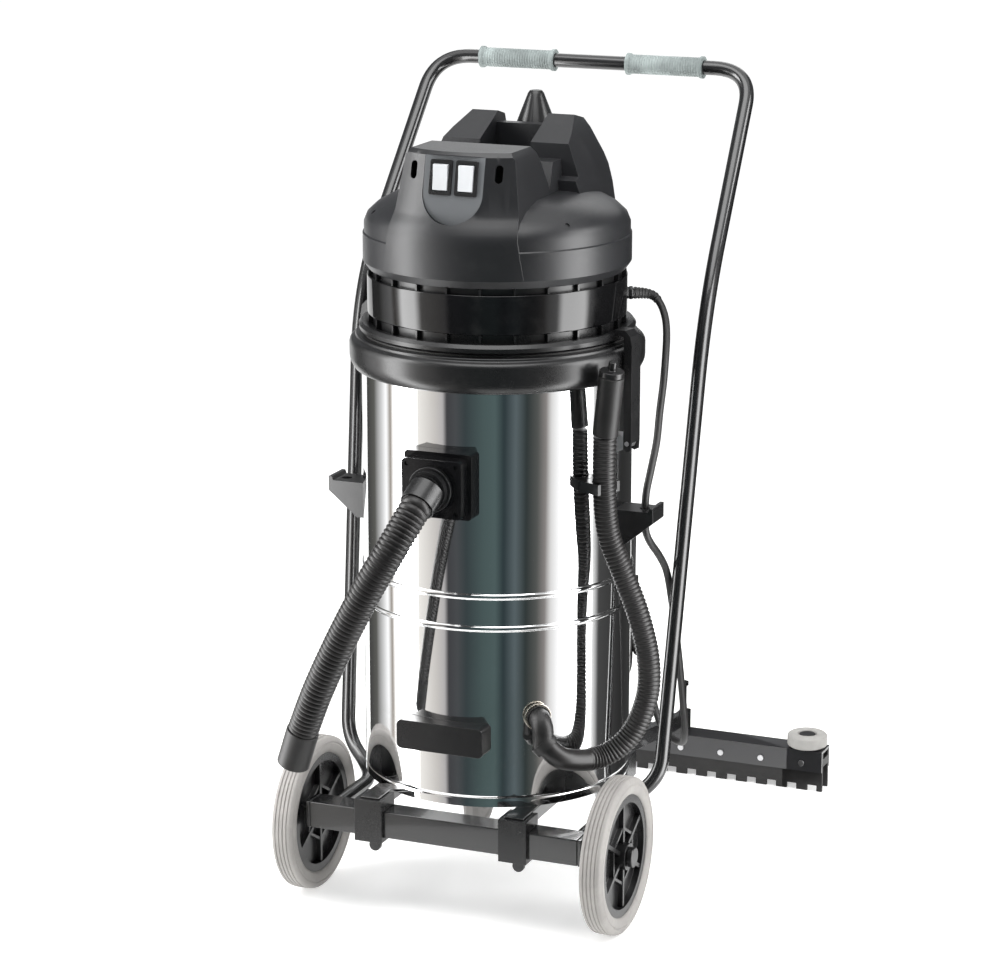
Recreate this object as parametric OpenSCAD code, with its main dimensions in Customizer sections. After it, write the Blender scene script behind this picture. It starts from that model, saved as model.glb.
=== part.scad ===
// Two-motor wet and dry floor cleaner on a trolley, with a rear squeegee.
// Millimetres, Z up, front towards -Y. Everything is drawn about the tank's
// axis and moved by base_shift so the origin is under the middle of the base.

/* [Tank] */
// Outside diameter of the steel tank
tank_d = 400; // [380:2:420]
// Height of the tank's bottom edge above the floor
tank_base = 184; // [178:2:200]
// Height of the steel wall
tank_h = 664; // [560:4:800]
// Thickness of the steel
tank_wall = 1.5; // [1:0.1:2.5]
// How far each rolled bead stands out
bead_r = 3; // [2:0.5:4]
// Height of the upper bead as a distance above the tank's bottom edge
bead_up = 320; // [280:5:340]
// Distance between the two beads
bead_gap = 48; // [30:2:80]

/* [Head] */
// Height of the glossy band round the motors
band_h = 57; // [40:1:80]
// Outside radius of the cowl's skirt
cowl_r = 197; // [194:1:200]
// Thickness of the plastic shells
shell = 4; // [3:0.5:5]
// Height of the switch turret above the skirt's lower edge
turret_h = 188; // [170:2:200]
// Half width of the turret at its top
turret_half = 84; // [76:1:88]
// How far the switch panel leans back, in degrees
panel_lean = 12; // [8:1:16]

/* [Trolley] */
// Outside diameter of the handle tube
handle_d = 22; // [20:0.5:25]
// Height of the push bar's centre line
handle_z = 1207; // [1160:5:1240]
// Side of the square cross beam
beam_side = 40; // [36:1:42]
// Radius of a large wheel over its tyre
wheel_r = 117; // [110:1:122]
// Width of a large tyre
wheel_w = 34; // [30:1:38]
// Gap between a wheel's middle plane and the tank's side
wheel_out = 45; // [44:1:60]
// Radius of a caster wheel
caster_r = 40; // [34:1:42]

/* [Squeegee] */
// Width of the squeegee bar
squeegee_w = 700; // [560:10:760]
// Distance of the blades behind the tank's axis
squeegee_back = 570; // [520:5:620]
// Number of notches in the rear blade
notches = 20; // [10:1:26]

/* [Hoses] */
// Outside diameter of the suction hose
hose_d = 46; // [40:1:48]
// Outside diameter of the drain hose
drain_d = 34; // [28:1:36]
// Outside diameter of the mains cable
cable_d = 11; // [8:0.5:12]

/* [Hidden] */
$fn = 72;
// Clearances
fit = 0.3;
running = 0.08;
eps = 0.01;

tank_r = tank_d / 2;
tank_top = tank_base + tank_h;
bead_z = tank_base + bead_up;

// Bumper ring round the tank's mouth
ring_r = tank_r + 18;
ring_low = tank_top - 44;
ring_top = tank_top + 8;
ring_in = tank_r - 14;

// Head, stacked on the ring
gasket_h = 3;
pan_z = ring_top + gasket_h;
pan_t = 7;
pan_r = tank_r + 3;
lip_top = pan_z + 15;
wall_r = cowl_r - 14;
band_z = lip_top + 12;
band_top = band_z + band_h;
skirt_z = band_top + 9;
band_r = cowl_r - 6;
dome_z = skirt_z + 68;
turret_top = skirt_z + turret_h;
deck_z = turret_top - 26;
post_y = 150;
post_r = 37;
recess_floor = dome_z + 64;
panel_w = 92;
panel_drop = 98;
panel_top = turret_top - 6;
panel_y = -(cowl_r - 45);
switch_x = 19.5;
switch_w = 30;
switch_h = 46;
switch_drop = 8;
rocker_gap = 1.6;
gland_turn = 32;
gland_r = 203;
gland_up = 19;
gland_z = band_z + gland_up;
motor_x = 78;
motor_r = 66;
motor_h = 118;
cage_r = 46;
cage_h = 92;
float_r = 34;

// Trolley
beam_z = 143;
beam_y = -(tank_r - 4);
beam_half = tank_r + 14;
rail_x = 115;
rail_w = 30;
rail_z = beam_z + beam_side / 2;
rail_h = tank_base - rail_z;
rear_y = 172;
axle_y = -135;
axle_r = 10;
plate_t = 6;
wheel_x = tank_r + wheel_out;
hub_r = wheel_r - 26;
tube_r = handle_d / 2;

// Casters under the rear beam
caster_x = 115;
caster_plate = 5;
caster_top = beam_z - beam_side / 2;
caster_trail = 28;
caster_w = 26;
kingpin_r = 6;
fork_gap = 0.3;
fork_top = caster_top - caster_plate - fork_gap;

// Latches, hinged on the tank below the ring
latch_turn = -9;
latch_x = ring_r + 9;
latch_z = ring_low - 90;
latch_w = 26;
latch_pin = 3.5;
nose_x = pan_r + 1.6 - latch_x;

// Hooks on the tank's sides, with a hole that guides the mains cable
hook_z = tank_base + 420;
hook_y = -15;
hook_out = 60;
guide_x = tank_r + 40;

// Inlet on the front, drain at the right of the front
inlet_z = tank_base + 488;
inlet_w = 104;
inlet_h = 96;
inlet_out = 45;
port_r = 24;
drain_z = tank_base + 139;
drain_turn = 39;
drain_out = tank_r + 28;
grip_z = tank_base + 107;
clip_turn = 64.7;
clip_z = 652;

// Squeegee, hinged behind the rear beam
arm_x = 100;
pivot_y = 214;
pivot_z = 142;
pivot_r = 5;
bar_low = 34;
bar_h = 36;
pin_top = 156;
pin_foot = 104;
roller_r = 33;
screw_z = bar_low + 14;
roller_x = squeegee_w / 2 - 32;

// Suction hose, drain hose and mains cable, by hand
hose_route = [[0, -268, 670], [-3, -284, 659], [-6, -300, 648], [-28, -322, 600], [-62, -332, 538],
    [-102, -336, 460], [-138, -336, 384], [-166, -330, 318]];
hose_dir = unit(hose_route[1] - hose_route[0]);
hose_foot = hose_route[len(hose_route) - 1];
cuff_end = [-186, -324, 262];
cuff_bore = 19;
drain_route = [[146, -178, 290], [172, -166, 266], [208, -112, 256], [246, -90, 286], [270, -84, 345],
    [272, -84, 405], [256, -84, 470], [232, -84, 530], [212, -92, 590], [207, -98, 660],
    [208, -100, 735]];
drain_top = [220, -108, 826];
drain_start = smooth_path(drain_route, 3)[1];
drain_foot = drain_route[len(drain_route) - 1];
plug_dir = unit(drain_top - drain_foot);
plug_r = 12;
cable_route = [[172.6, 107.9, 905], [202, 122, 898], [226, 104, 864], [238, 66, 800], [238, 48, 744],
    [241, 27, 702], [241, 3, 664], [240, -14, 630], [240, -15, 584], [243, -4, 560], [247, 28, 530],
    [248, 60, 496], [248, 86, 440], [248, 112, 370], [248, 136, 290], [244, 164, 214],
    [222, 206, 180], [180, 238, 190], [158, 243, 250], [148, 241, 296], [134, 240.2, 310]];
tail_route = [[42, 240, 236], [44, 243, 224], [46, 246, 208], [46, 248, 190]];

// The origin is under the middle of everything but the free cords
front_edge = max(wheel_r - axle_y, tank_r + inlet_out + 8);
rear_edge = squeegee_back + roller_r;
base_shift = [0, (front_edge - rear_edge) / 2, 0];

// Hank of spare cable, hung behind the tank
hank_x = 72;
hank_y = tank_r + 38;
hank_low = 235;
hank_top = 560;
hank_w = 116;
hank_t = 34;
peg_r = 9;
peg_z = hank_top - hank_t - peg_r - fit;

// ---- small tools ----

function unit(v) = v / norm(v);
function lerp(a, b, t) = a + (b - a) * t;

// Rounds each corner of a path with a parabola that leaves it r before the corner
function soft_corner(a, b, c, r, n) = let (p = b - unit(b - a) * r,
    q = b + unit(c - b) * r) [for (i = [0 : n]) let (t = i / n) lerp(lerp(p, b, t), lerp(b, q, t), t)];
function rounded_path(p, r, n) = [p[0], for (i = [1 : len(p) - 2]) each soft_corner(p[i - 1], p[i],
    p[i + 1], r[i], n), p[len(p) - 1]];

// Catmull-Rom curve through the points, n steps to a span
function spline_at(a, b, c, d,
    t) = 0.5 * (2 * b + (c - a) * t + (2 * a - 5 * b + 4 * c - d) * t * t + (3 * b - 3 * c + d - a) * t * t * t);
function smooth_path(p, n) = let (m = len(p) - 1) [for (i = [0 : m - 1], k = [0 : n - 1])
    spline_at(p[max(i - 1, 0)], p[i], p[i + 1], p[min(i + 2, m)], k / n), p[m]];

function tangent(p, i) = unit(p[min(i + 1, len(p) - 1)] - p[max(i - 1, 0)]);
function across(n, t) = unit(n - (n * t) * t);
function first_normal(t) = abs(t[2]) < 0.9 ? across([0, 0, 1], t) : across([1, 0, 0], t);
function normals(p) = [for (i = 0, n = first_normal(tangent(p, 0)); i < len(p); i = i + 1,
    n = i < len(p) ? across(n, tangent(p, i)) : n) n];

module swept(p, r, sides = 12) {
    m = len(p);
    ns = normals(p);
    rings = [for (i = [0 : m - 1], k = [0 : sides - 1]) let (t = tangent(p, i), a = 360 * k / sides)
        p[i] + r * (cos(a) * ns[i] + sin(a) * cross(t, ns[i]))];
    walls = [for (i = [0 : m - 2], k = [0 : sides - 1]) let (a = i * sides + k,
        b = i * sides + (k + 1) % sides) each [[a, a + sides, b], [b, a + sides, b + sides]]];
    caps = [[for (k = [0 : sides - 1]) k], [for (k = [sides - 1 : -1 : 0]) (m - 1) * sides + k]];
    polyhedron(rings, concat(walls, caps));
}

// A rod from point a to point b
module link(a, b, r) translate(a) rotate([0, acos((b[2] - a[2]) / norm(b - a)), atan2(b[1] - a[1],
    b[0] - a[0])]) cylinder(r = r, h = norm(b - a));

module mirrored() {
    children();
    mirror([1, 0, 0]) children();
}

module turned(a) rotate([0, 0, a]) children();

module along_y(y0, y1) translate([0, y1, 0]) rotate([90, 0, 0]) linear_extrude(y1 - y0) children();

module along_x(x0, x1) translate([x0, 0, 0]) rotate([90, 0, 90]) linear_extrude(x1 - x0) children();

module rod_x(x0, x1, r) translate([x0, 0, 0]) rotate([0, 90, 0]) cylinder(r = r, h = x1 - x0);

module rod_y(y0, y1, r) translate([0, y1, 0]) rotate([90, 0, 0]) cylinder(r = r, h = y1 - y0);

module hoop(r0, r1, z0, z1) rotate_extrude() translate([r0, z0]) square([r1 - r0, z1 - z0]);

module soft_square(w, h, r) {
    square([w - 2 * r, h], center = true);
    square([w, h - 2 * r], center = true);
    for (sx = [-1, 1], sy = [-1, 1]) translate([sx * (w / 2 - r), sy * (h / 2 - r)]) circle(r = r);
}

module on_panel() translate([0, panel_y, panel_top]) rotate([90 - panel_lean, 0, 0]) children();

module at_drain() translate([0, 0, drain_z]) turned(drain_turn) children();

// ---- tank ----

module tank_shell() color("silver") difference() {
    union() {
        rotate_extrude() difference() {
            union() {
                translate([0, tank_base]) square([tank_r, tank_h]);
                for (z = [bead_z, bead_z - bead_gap]) translate([tank_r - tank_wall, z])
                    circle(r = bead_r + tank_wall, $fn = 32);
            }
            translate([0, tank_base - eps]) square([tank_r - tank_wall, 9]);
            translate([0, tank_base + 9 + tank_wall]) square([tank_r - tank_wall, tank_h]);
            for (z = [bead_z, bead_z - bead_gap]) translate([tank_r - tank_wall, z])
                circle(r = bead_r, $fn = 32);
        }
    }
    translate([0, -tank_r + 10, inlet_z]) rod_y(-20, 20, port_r + 2);
    at_drain() rod_y(-tank_r - 10, -tank_r + 20, 13);
}

module ring_outline() polygon([[tank_r + fit, ring_low], [ring_r - 8, ring_low],
    [ring_r, ring_low + 14], [ring_r, ring_top - 12], [ring_r - 3, ring_top - 7],
    [ring_r - 9, ring_top - 4], [ring_r - 10, ring_top], [ring_in, ring_top],
    [ring_in, tank_top + fit], [tank_r + fit, tank_top + fit]]);

module tank_ring() color("#1b1b1c") rotate_extrude($fn = 96) ring_outline();

module tank_gasket() color("#2a2a2b") hoop(ring_in + 2, tank_r - 2, ring_top,
    ring_top + gasket_h - eps);

module saddle_block(w, h, out, r = 6) difference() {
    along_y(-tank_r - out, -tank_r + 24) soft_square(w, h, r);
    translate([0, 0, -h]) cylinder(r = tank_r + fit, h = 2 * h, $fn = 120);
}

module inlet_box() color("#161617") translate([0, 0, inlet_z]) difference() {
    union() {
        saddle_block(inlet_w, inlet_h, 22);
        saddle_block(inlet_w - 12, inlet_h - 12, inlet_out);
    }
    rod_y(-tank_r - inlet_out - 1, -tank_r + 30, port_r + 2);
    for (x = [-1, 1], z = [-1, 1]) translate([x * (inlet_w / 2 - 14), 0, z * (inlet_h / 2 - 14)])
        rod_y(-tank_r - inlet_out - 1, -tank_r - inlet_out + 3, 3.5);
}

module inlet_port() color("#232324") translate([0, -tank_r, inlet_z]) difference() {
    union() {
        rod_y(-inlet_out - 8, -inlet_out - fit / 3, port_r + 9);
        rod_y(-inlet_out - 1, 24, port_r + 1.9);
    }
    rod_y(-inlet_out - 10, 30, port_r);
}

module front_grip() color("#151516") translate([0, 0, grip_z]) difference() {
    saddle_block(136, 44, 22, 8);
    translate([-54, -tank_r - 17, -23]) cube([108, 12, 28]);
}

module hook_shape() difference() {
    translate([0, hook_y, hook_z]) along_y(-24, 24) polygon([[tank_r - 10, -46], [tank_r + 14, -46],
        [tank_r + hook_out, -8], [tank_r + hook_out, 14], [tank_r + hook_out - 6, 14],
        [tank_r + hook_out - 8, 8], [tank_r - 10, 8]]);
    translate([0, 0, hook_z - 60]) cylinder(r = tank_r + fit, h = 90, $fn = 120);
    translate([guide_x, hook_y, hook_z - 60]) cylinder(r = cable_d / 2 + 2.5, h = 90);
}

module side_hooks() color("#1a1a1b") mirrored() hook_shape();

// ---- drain ----

module drain_outlet() color("#b9b4a8") at_drain() difference() {
    union() {
        rod_y(-tank_r - 20, -tank_r + 10, 12.9);
        rod_y(-tank_r - 9, -tank_r - 3, 20);
        rod_y(-tank_r + 3, -tank_r + 8, 20);
    }
    rod_y(-tank_r - 21, -tank_r + 12, 9);
}

module drain_elbow() color("#161617") difference() {
    union() {
        at_drain() rod_y(-tank_r - 14, -tank_r - 9.6, 17.5);
        at_drain() multmatrix([[0, 0, 1, 0], [0, -1, 0, -tank_r - 13], [1, 0, 0, -20], [0, 0, 0, 1]]) {
            rotate_extrude(angle = 90) translate([20, 0]) circle(r = 15.6, $fn = 48);
        }
        at_drain() translate([0, -tank_r - 33, -37]) cylinder(r = 15.6, h = 17 + eps);
        link(lerp(drain_route[0], drain_start, -0.5), drain_start, drain_d / 2 + 3);
    }
    at_drain() rod_y(-tank_r - 20.5, -tank_r + 12, 13);
    link(lerp(drain_route[0], drain_start, -0.04), lerp(drain_route[0], drain_start, 3),
        drain_d / 2 + 0.8);
}

module drain_hose() color("#2a2829") swept(smooth_path(drain_route, 3), drain_d / 2, 10);

module drain_cuff() color("#161617") difference() {
    link(drain_foot + 3 * plug_dir, drain_top, drain_d / 2 + 1.5);
    link(drain_top - 24 * plug_dir, drain_top + 3 * plug_dir, plug_r + fit);
}

module drain_plug() color("#1f1f20") {
    link(drain_top - 20 * plug_dir, drain_top + 2 * plug_dir, plug_r);
    link(drain_top + fit * plug_dir, drain_top + 9 * plug_dir, drain_d / 2 + 1);
    link(drain_top + 8 * plug_dir, drain_top + 22 * plug_dir, 6);
}

module drain_clip() color("#1c1c1d") difference() {
    turned(clip_turn) translate([-drain_d / 2 - 5, -tank_r - 38, clip_z]) cube([drain_d + 10, 46, 16]);
    translate([0, 0, clip_z - 5]) cylinder(r = tank_r + fit, h = 30, $fn = 120);
    link([208, -97, clip_z - 30], [207, -98.6, clip_z + 40], drain_d / 2 + 1);
}

// ---- suction hose ----

module hose_connector() color("#1d1d1e") difference() {
    union() {
        translate([0, 0, inlet_z]) rod_y(-tank_r - inlet_out - 24, -tank_r - inlet_out + 30,
            port_r - 0.2);
        translate([0, 0, inlet_z]) rod_y(-tank_r - inlet_out - 20, -tank_r - inlet_out - 8.3,
            port_r + 5);
        link(hose_route[0] - 8 * hose_dir, hose_route[0] + 24 * hose_dir, hose_d / 2 + 3);
    }
    translate([0, 0, inlet_z]) rod_y(-tank_r - inlet_out - 12, -tank_r - inlet_out + 31, port_r - 4);
    link(hose_route[0] - 0.4 * hose_dir, hose_route[0] + 60 * hose_dir, hose_d / 2 + 1.4);
}

module suction_hose() color("#232122") swept(smooth_path(hose_route, 3), hose_d / 2, 12);

module hose_cuff() color("#19191a") difference() {
    link(lerp(hose_foot, cuff_end, 0.03), cuff_end, hose_d / 2 + 1);
    link(lerp(hose_foot, cuff_end, 0.35), lerp(hose_foot, cuff_end, 1.1), cuff_bore);
}

// ---- trolley ----

module cross_beam() color("#141415") difference() {
    translate([0, beam_y, beam_z]) cube([2 * (beam_half - fit), beam_side, beam_side], center = true);
    translate([0, beam_y, beam_z]) cube([2 * beam_half, beam_side - 6, beam_side - 6], center = true);
}

module beam_caps() color("#202021") mirrored() translate([0, beam_y, beam_z]) difference() {
    translate([beam_half - 14, -(beam_side - 7) / 2, -(beam_side - 7) / 2])
        cube([14 - fit, beam_side - 7, beam_side - 7]);
    translate([beam_half - 15, -(beam_side - 13) / 2, -(beam_side - 13) / 2])
        cube([11, beam_side - 13, beam_side - 13]);
}

module axle_shape() {
    along_x(beam_half, beam_half + plate_t) hull() {
        translate([beam_y, beam_z]) square(beam_side, center = true);
        translate([axle_y, wheel_r]) circle(r = 22, $fn = 48);
    }
    translate([0, axle_y, wheel_r]) rod_x(beam_half, wheel_x + wheel_w / 2 + 8, axle_r);
    translate([0, axle_y, wheel_r]) rod_x(beam_half, beam_half + plate_t + 3, axle_r + 5);
}

module axle_right() color("#161617") axle_shape();

module axle_left() color("#161617") mirror([1, 0, 0]) axle_shape();

module rear_beam() color("#141415") {
    translate([-rail_x - 40, rear_y - beam_side / 2, beam_z - beam_side / 2])
        cube([2 * rail_x + 80, beam_side, beam_side - fit]);
    for (s = [-1, 1], k = [-1, 1]) translate([s * arm_x, 0, 0]) along_x(k * 12 - 3, k * 12 + 3)
        difference() {
        union() {
            translate([rear_y, pivot_z - 12]) square([pivot_y - rear_y, 24]);
            translate([pivot_y, pivot_z]) circle(r = 12, $fn = 40);
        }
        translate([pivot_y, pivot_z]) circle(r = pivot_r, $fn = 40);
    }
    for (s = [-1, 1]) translate([s * caster_x, rear_y, 0]) {
        translate([-30, -30, caster_top - caster_plate]) cube([60, 60, caster_plate + 1]);
        translate([0, 0, caster_top - caster_plate - 20]) cylinder(r = kingpin_r, h = 21);
    }
}

module cradle_rails() color("#171718") mirrored() translate([rail_x - rail_w / 2,
    beam_y - beam_side / 2, rail_z]) cube([rail_w, rear_y - beam_y + beam_side, rail_h - fit]);

module clamp_blocks() color("#1a1a1b") mirrored() translate([rail_x, beam_y, 0]) difference() {
    translate([-22, -beam_side / 2 - 7, beam_z - beam_side / 2 - 7])
        cube([44, beam_side + 7, beam_side + rail_h + 4]);
    translate([-23, -beam_side / 2 - fit, beam_z - beam_side / 2 - fit])
        cube([46, beam_side + 10, beam_side + 2 * fit]);
    translate([-rail_w / 2 - fit, -beam_side / 2 - fit, rail_z - 1])
        cube([rail_w + 2 * fit, beam_side + 10, rail_h + 20]);
    cylinder(r = 4.2, h = beam_z - beam_side / 2);
}

module wing_bolts() color("#101011") mirrored() translate([rail_x, beam_y, beam_z - beam_side / 2]) {
    translate([0, 0, -22]) cylinder(r = 4, h = 22 - fit);
    translate([0, 0, -13.3]) cylinder(r = 9, h = 6);
    translate([0, 0, -20]) rod_y(-4, 4, 9);
}

function mirror_x(v) = [-v[0], v[1], v[2]];
handle_side = [[tank_r - 4, beam_y + beam_side / 2 + fit, beam_z], [tank_r - 4, -24, beam_z],
    [tank_r + 58, 14, beam_z + 45], [tank_r + 80, 122, 884], [tank_r + 62, 381, handle_z]];
handle_turns = [0, 40, 34, 110, 62, 62, 110, 34, 40, 0];
handle_route = concat(handle_side, [for (i = [4 : -1 : 0]) mirror_x(handle_side[i])]);

module handle_tube() color("#111112") swept(rounded_path(handle_route, handle_turns, 6), tube_r, 20);

module grip_shape() translate([0, 381, handle_z]) difference() {
    union() {
        rod_x(60, 184, tube_r + 4);
        rod_x(60, 66, tube_r + 6.5);
        rod_x(178, 184, tube_r + 6.5);
    }
    rod_x(50, 190, tube_r + 0.1);
}

module handle_grips() color("#7b8280") mirrored() grip_shape();

module tyre_shape() translate([wheel_x, axle_y, wheel_r]) rotate([0, 90, 0])
    rotate_extrude($fn = 120) difference() {
    polygon([[hub_r, -wheel_w / 2 + 3], [hub_r + 6, -wheel_w / 2], [wheel_r - 7, -wheel_w / 2],
        [wheel_r - 2, -wheel_w / 2 + 3], [wheel_r, -wheel_w / 2 + 9], [wheel_r, wheel_w / 2 - 9],
        [wheel_r - 2, wheel_w / 2 - 3], [wheel_r - 7, wheel_w / 2], [hub_r + 6, wheel_w / 2],
        [hub_r, wheel_w / 2 - 3]]);
    for (k = [-1 : 1]) translate([wheel_r, k * 6]) square([3, 1.6], center = true);
}

module tyre_right() color("#b4afaa") tyre_shape();

module tyre_left() color("#b4afaa") mirror([1, 0, 0]) tyre_shape();

module hub_shape() translate([wheel_x, axle_y, wheel_r]) rotate([0, 90, 0]) difference() {
    union() {
        rotate_extrude() translate([hub_r - 12, -wheel_w / 2 + 4]) square([12 - eps, wheel_w - 8]);
        translate([0, 0, -3]) cylinder(r = hub_r - 7, h = 6);
        translate([0, 0, -wheel_w / 2 - 1]) cylinder(r = 20, h = wheel_w + 3);
        for (k = [0 : 5]) turned(60 * k) translate([0, -3, -wheel_w / 2 + 6])
            cube([hub_r - 5, 6, wheel_w - 12]);
        translate([0, 0, -wheel_w / 2 + 7]) difference() {
            cylinder(r = 46, h = wheel_w - 14, $fn = 6);
            translate([0, 0, -1]) cylinder(r = 41, h = wheel_w, $fn = 6);
        }
    }
    translate([0, 0, -wheel_w]) cylinder(r = axle_r + running, h = 2 * wheel_w);
}

module hub_right() color("#121213") hub_shape();

module hub_left() color("#121213") mirror([1, 0, 0]) hub_shape();

module hub_caps() color("#18181a") mirrored() translate([0, axle_y, wheel_r]) difference() {
    rod_x(wheel_x + wheel_w / 2 + 2.5, wheel_x + wheel_w / 2 + 11, 15);
    rod_x(wheel_x, wheel_x + wheel_w / 2 + 8, axle_r);
}

module caster_fork_shape() translate([caster_x, rear_y, 0]) difference() {
    union() {
        translate([0, 0, fork_top - 13]) cylinder(r = 26, h = 6);
        translate([0, 0, fork_top - 8]) cylinder(r = 16, h = 8);
        for (s = [-1, 1]) along_x(s * (caster_w / 2 + 3.5) - 2, s * (caster_w / 2 + 3.5) + 2) {
            translate([caster_trail, caster_r]) circle(r = 9, $fn = 32);
            polygon([[caster_trail - 9, caster_r], [caster_trail + 9, caster_r], [18, fork_top - 8],
                [-18, fork_top - 8]]);
        }
        translate([0, caster_trail, caster_r]) rod_x(-caster_w / 2 - 9, caster_w / 2 + 9, 5);
    }
    cylinder(r = kingpin_r + running, h = caster_top);
    translate([0, 0, caster_top - caster_plate - 21]) cylinder(r = kingpin_r + 2, h = 4);
}

module caster_fork_right() color("#9a9c9e") caster_fork_shape();

module caster_fork_left() color("#9a9c9e") mirror([1, 0, 0]) caster_fork_shape();

module caster_wheel_shape() translate([caster_x, rear_y + caster_trail, caster_r]) difference() {
    rotate([0, 90, 0]) rotate_extrude() polygon([[0, -caster_w / 2], [caster_r - 5, -caster_w / 2],
        [caster_r, -caster_w / 2 + 6], [caster_r, caster_w / 2 - 6], [caster_r - 5, caster_w / 2],
        [0, caster_w / 2]]);
    rod_x(-caster_w, caster_w, 5 + running);
}

module caster_wheel_right() color("#8f8c88") caster_wheel_shape();

module caster_wheel_left() color("#8f8c88") mirror([1, 0, 0]) caster_wheel_shape();

// ---- latches ----

module latch_shape() translate([latch_x, 0, latch_z]) difference() {
    along_y(-latch_w / 2, latch_w / 2) polygon([
        [-6, -10], [0, -13], [6, -10], [7, 4], [7, 144], [4, 158], [-4, 166],
        [nose_x, 166], [nose_x, 161], [-6.5, 157], [-6.5, 60], [-6, 20]
    ]);
    rod_y(-30, 30, latch_pin + running);
    along_y(-9, 9) polygon([[-20, -20], [20, -20], [20, 1.5], [4.4, 1.5], [4.5, 12], [-20, 16]]);
}

module latch_right() color("#141415") turned(latch_turn) latch_shape();

module latch_left() color("#141415") turned(180 + latch_turn) latch_shape();

module latch_brackets() color("#8d8f90") for (a = [latch_turn, 180 + latch_turn]) turned(a)
    translate([0, 0, latch_z]) {
    difference() {
        along_y(-8.5, 8.5) polygon([
            [tank_r - 8, -14], [tank_r + 10, -14], [latch_x + 1, -6], [latch_x + 4, 0], [latch_x + 1,
                6], [tank_r + 10, 12], [tank_r - 8, 12]
        ]);
        translate([0, 0, -40]) cylinder(r = tank_r + fit, h = 80, $fn = 120);
    }
    translate([latch_x, 0, 0]) rod_y(-latch_w / 2 - 1, latch_w / 2 + 1, latch_pin);
}

// ---- head ----

module head_pan() color("#1c1c1d") difference() {
    union() {
        rotate_extrude() polygon([[0, pan_z], [pan_r - 6, pan_z], [pan_r, pan_z + 4],
            [pan_r + 1, pan_z + 10], [pan_r - 3, lip_top], [pan_r - 9, lip_top],
            [wall_r, pan_z + pan_t + 4], [wall_r, skirt_z], [wall_r - shell, skirt_z],
            [wall_r - shell, pan_z + pan_t], [0, pan_z + pan_t]]);
        for (k = [0 : 23]) turned(15 * k) translate([wall_r - 1, -1.5, pan_z + pan_t])
            cube([8, 3, band_z - pan_z - pan_t - fit]);
        for (k = [0 : 23]) turned(15 * k) translate([wall_r - 1, -1.5, band_top + fit])
            cube([8, 3, skirt_z - band_top - fit]);
    }
    for (s = [-1, 1]) translate([s * motor_x, 0, pan_z - 1]) cylinder(r = 24, h = pan_t + 2);
    translate([0, 0, pan_z - 1]) cylinder(r = 3, h = pan_t + 2);
}

module motor_band() color("#0c0c0d") {
    hoop(wall_r + fit, band_r, band_z, band_top);
    // the mains cable's gland
    translate([0, 0, gland_z]) turned(gland_turn) rod_x(band_r - 3, gland_r, 10);
}

module motors() color("#8e8f91") for (s = [-1, 1]) translate([s * motor_x, 0, pan_z + pan_t + 4])
    difference() {
    union() {
        cylinder(r = motor_r, h = 46);
        translate([0, 0, 46]) cylinder(r = 44, h = motor_h - 46);
        translate([0, 0, motor_h]) cylinder(r = 14, h = 12);
    }
    translate([0, 0, -1]) cylinder(r = 22, h = 30);
}

module motor_seals() color("#303031") for (s = [-1, 1]) translate([s * motor_x, 0, 0])
    hoop(26, 56, pan_z + pan_t + fit / 3, pan_z + pan_t + 4 - fit / 3);

module dome_outline(d) polygon([[0, skirt_z + (d > 0 ? -1 : 0.5)], [cowl_r - 8 - d, skirt_z + (d > 0 ?
    -1 : 0.5)], [cowl_r - d, skirt_z + 12], [cowl_r - d, skirt_z + 52], [cowl_r - 2 - d,
    skirt_z + 54], [cowl_r - 2 - d, dome_z - d], [cowl_r - 7 - d, dome_z + 12 - d], [cowl_r - 20 - d,
    dome_z + 24 - d], [cowl_r - 42 - d, dome_z + 36 - d], [cowl_r - 76 - d, dome_z + 46 - d],
    [0, dome_z + 50 - d]]);

// The turret's front is turned: it runs down into the skirt without a step; d sets it back
module turret_front(d) rotate_extrude($fn = 96) polygon([
    [20, skirt_z + 4],
    [cowl_r + 0.4 - d, skirt_z + 4],
    [cowl_r + 0.4 - d, dome_z - 8],
    [cowl_r - 0.6 - d, dome_z],
    [cowl_r - 4 - d, dome_z + 10],
    [cowl_r - 11 - d, dome_z + 21],
    [cowl_r - 19 - d, dome_z + 34],
    [-panel_y + 8 - d, turret_top - 6 - d],
    [-panel_y - 4 - d, turret_top + 6 - d],
    [20, turret_top + 6 - d]
]);
function side_line(d) = [[turret_half + 26 - d, skirt_z + 2], [turret_half - d, turret_top - 10]];

module turret_solid(d) intersection() {
    turret_front(d);
    along_x(-130, 130) polygon([
        [-cowl_r - 20, skirt_z + 14 + d],
        [-cowl_r - 20, turret_top - d],
        [-62 - d, turret_top - d],
        [-44 - d, turret_top - 26 - d],
        [-20 - d, dome_z + 40 - d],
        [-20 - d, skirt_z + 14 + d]
    ]);
    along_y(-cowl_r - 10, 0) polygon([
        [-side_line(d)[0][0], side_line(d)[0][1]],
        [-side_line(d)[1][0], side_line(d)[1][1]],
        [-turret_half + 8 + d, turret_top + 1],
        [turret_half - 8 - d, turret_top + 1],
        side_line(d)[1],
        side_line(d)[0]
    ]);
}

module deck_solid(d) intersection() {
    along_x(-100, 100) polygon([[-40 + d, dome_z + 30 - d], [-6 + d, turret_top - 30 - d],
        [92, turret_top - 30 - d], [96, deck_z - d], [189 - d, deck_z - d], [192 - d, dome_z - 8 + d],
        [-40 + d, dome_z - 8 + d]]);
    along_y(-60, 200) polygon([[-98 + d, dome_z - 10], [-86 + d, turret_top - d],
        [86 - d, turret_top - d], [98 - d, dome_z - 10]]);
    translate([0, 0, skirt_z]) cylinder(r = cowl_r - 4 - d, h = 300, $fn = 96);
}

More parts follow.
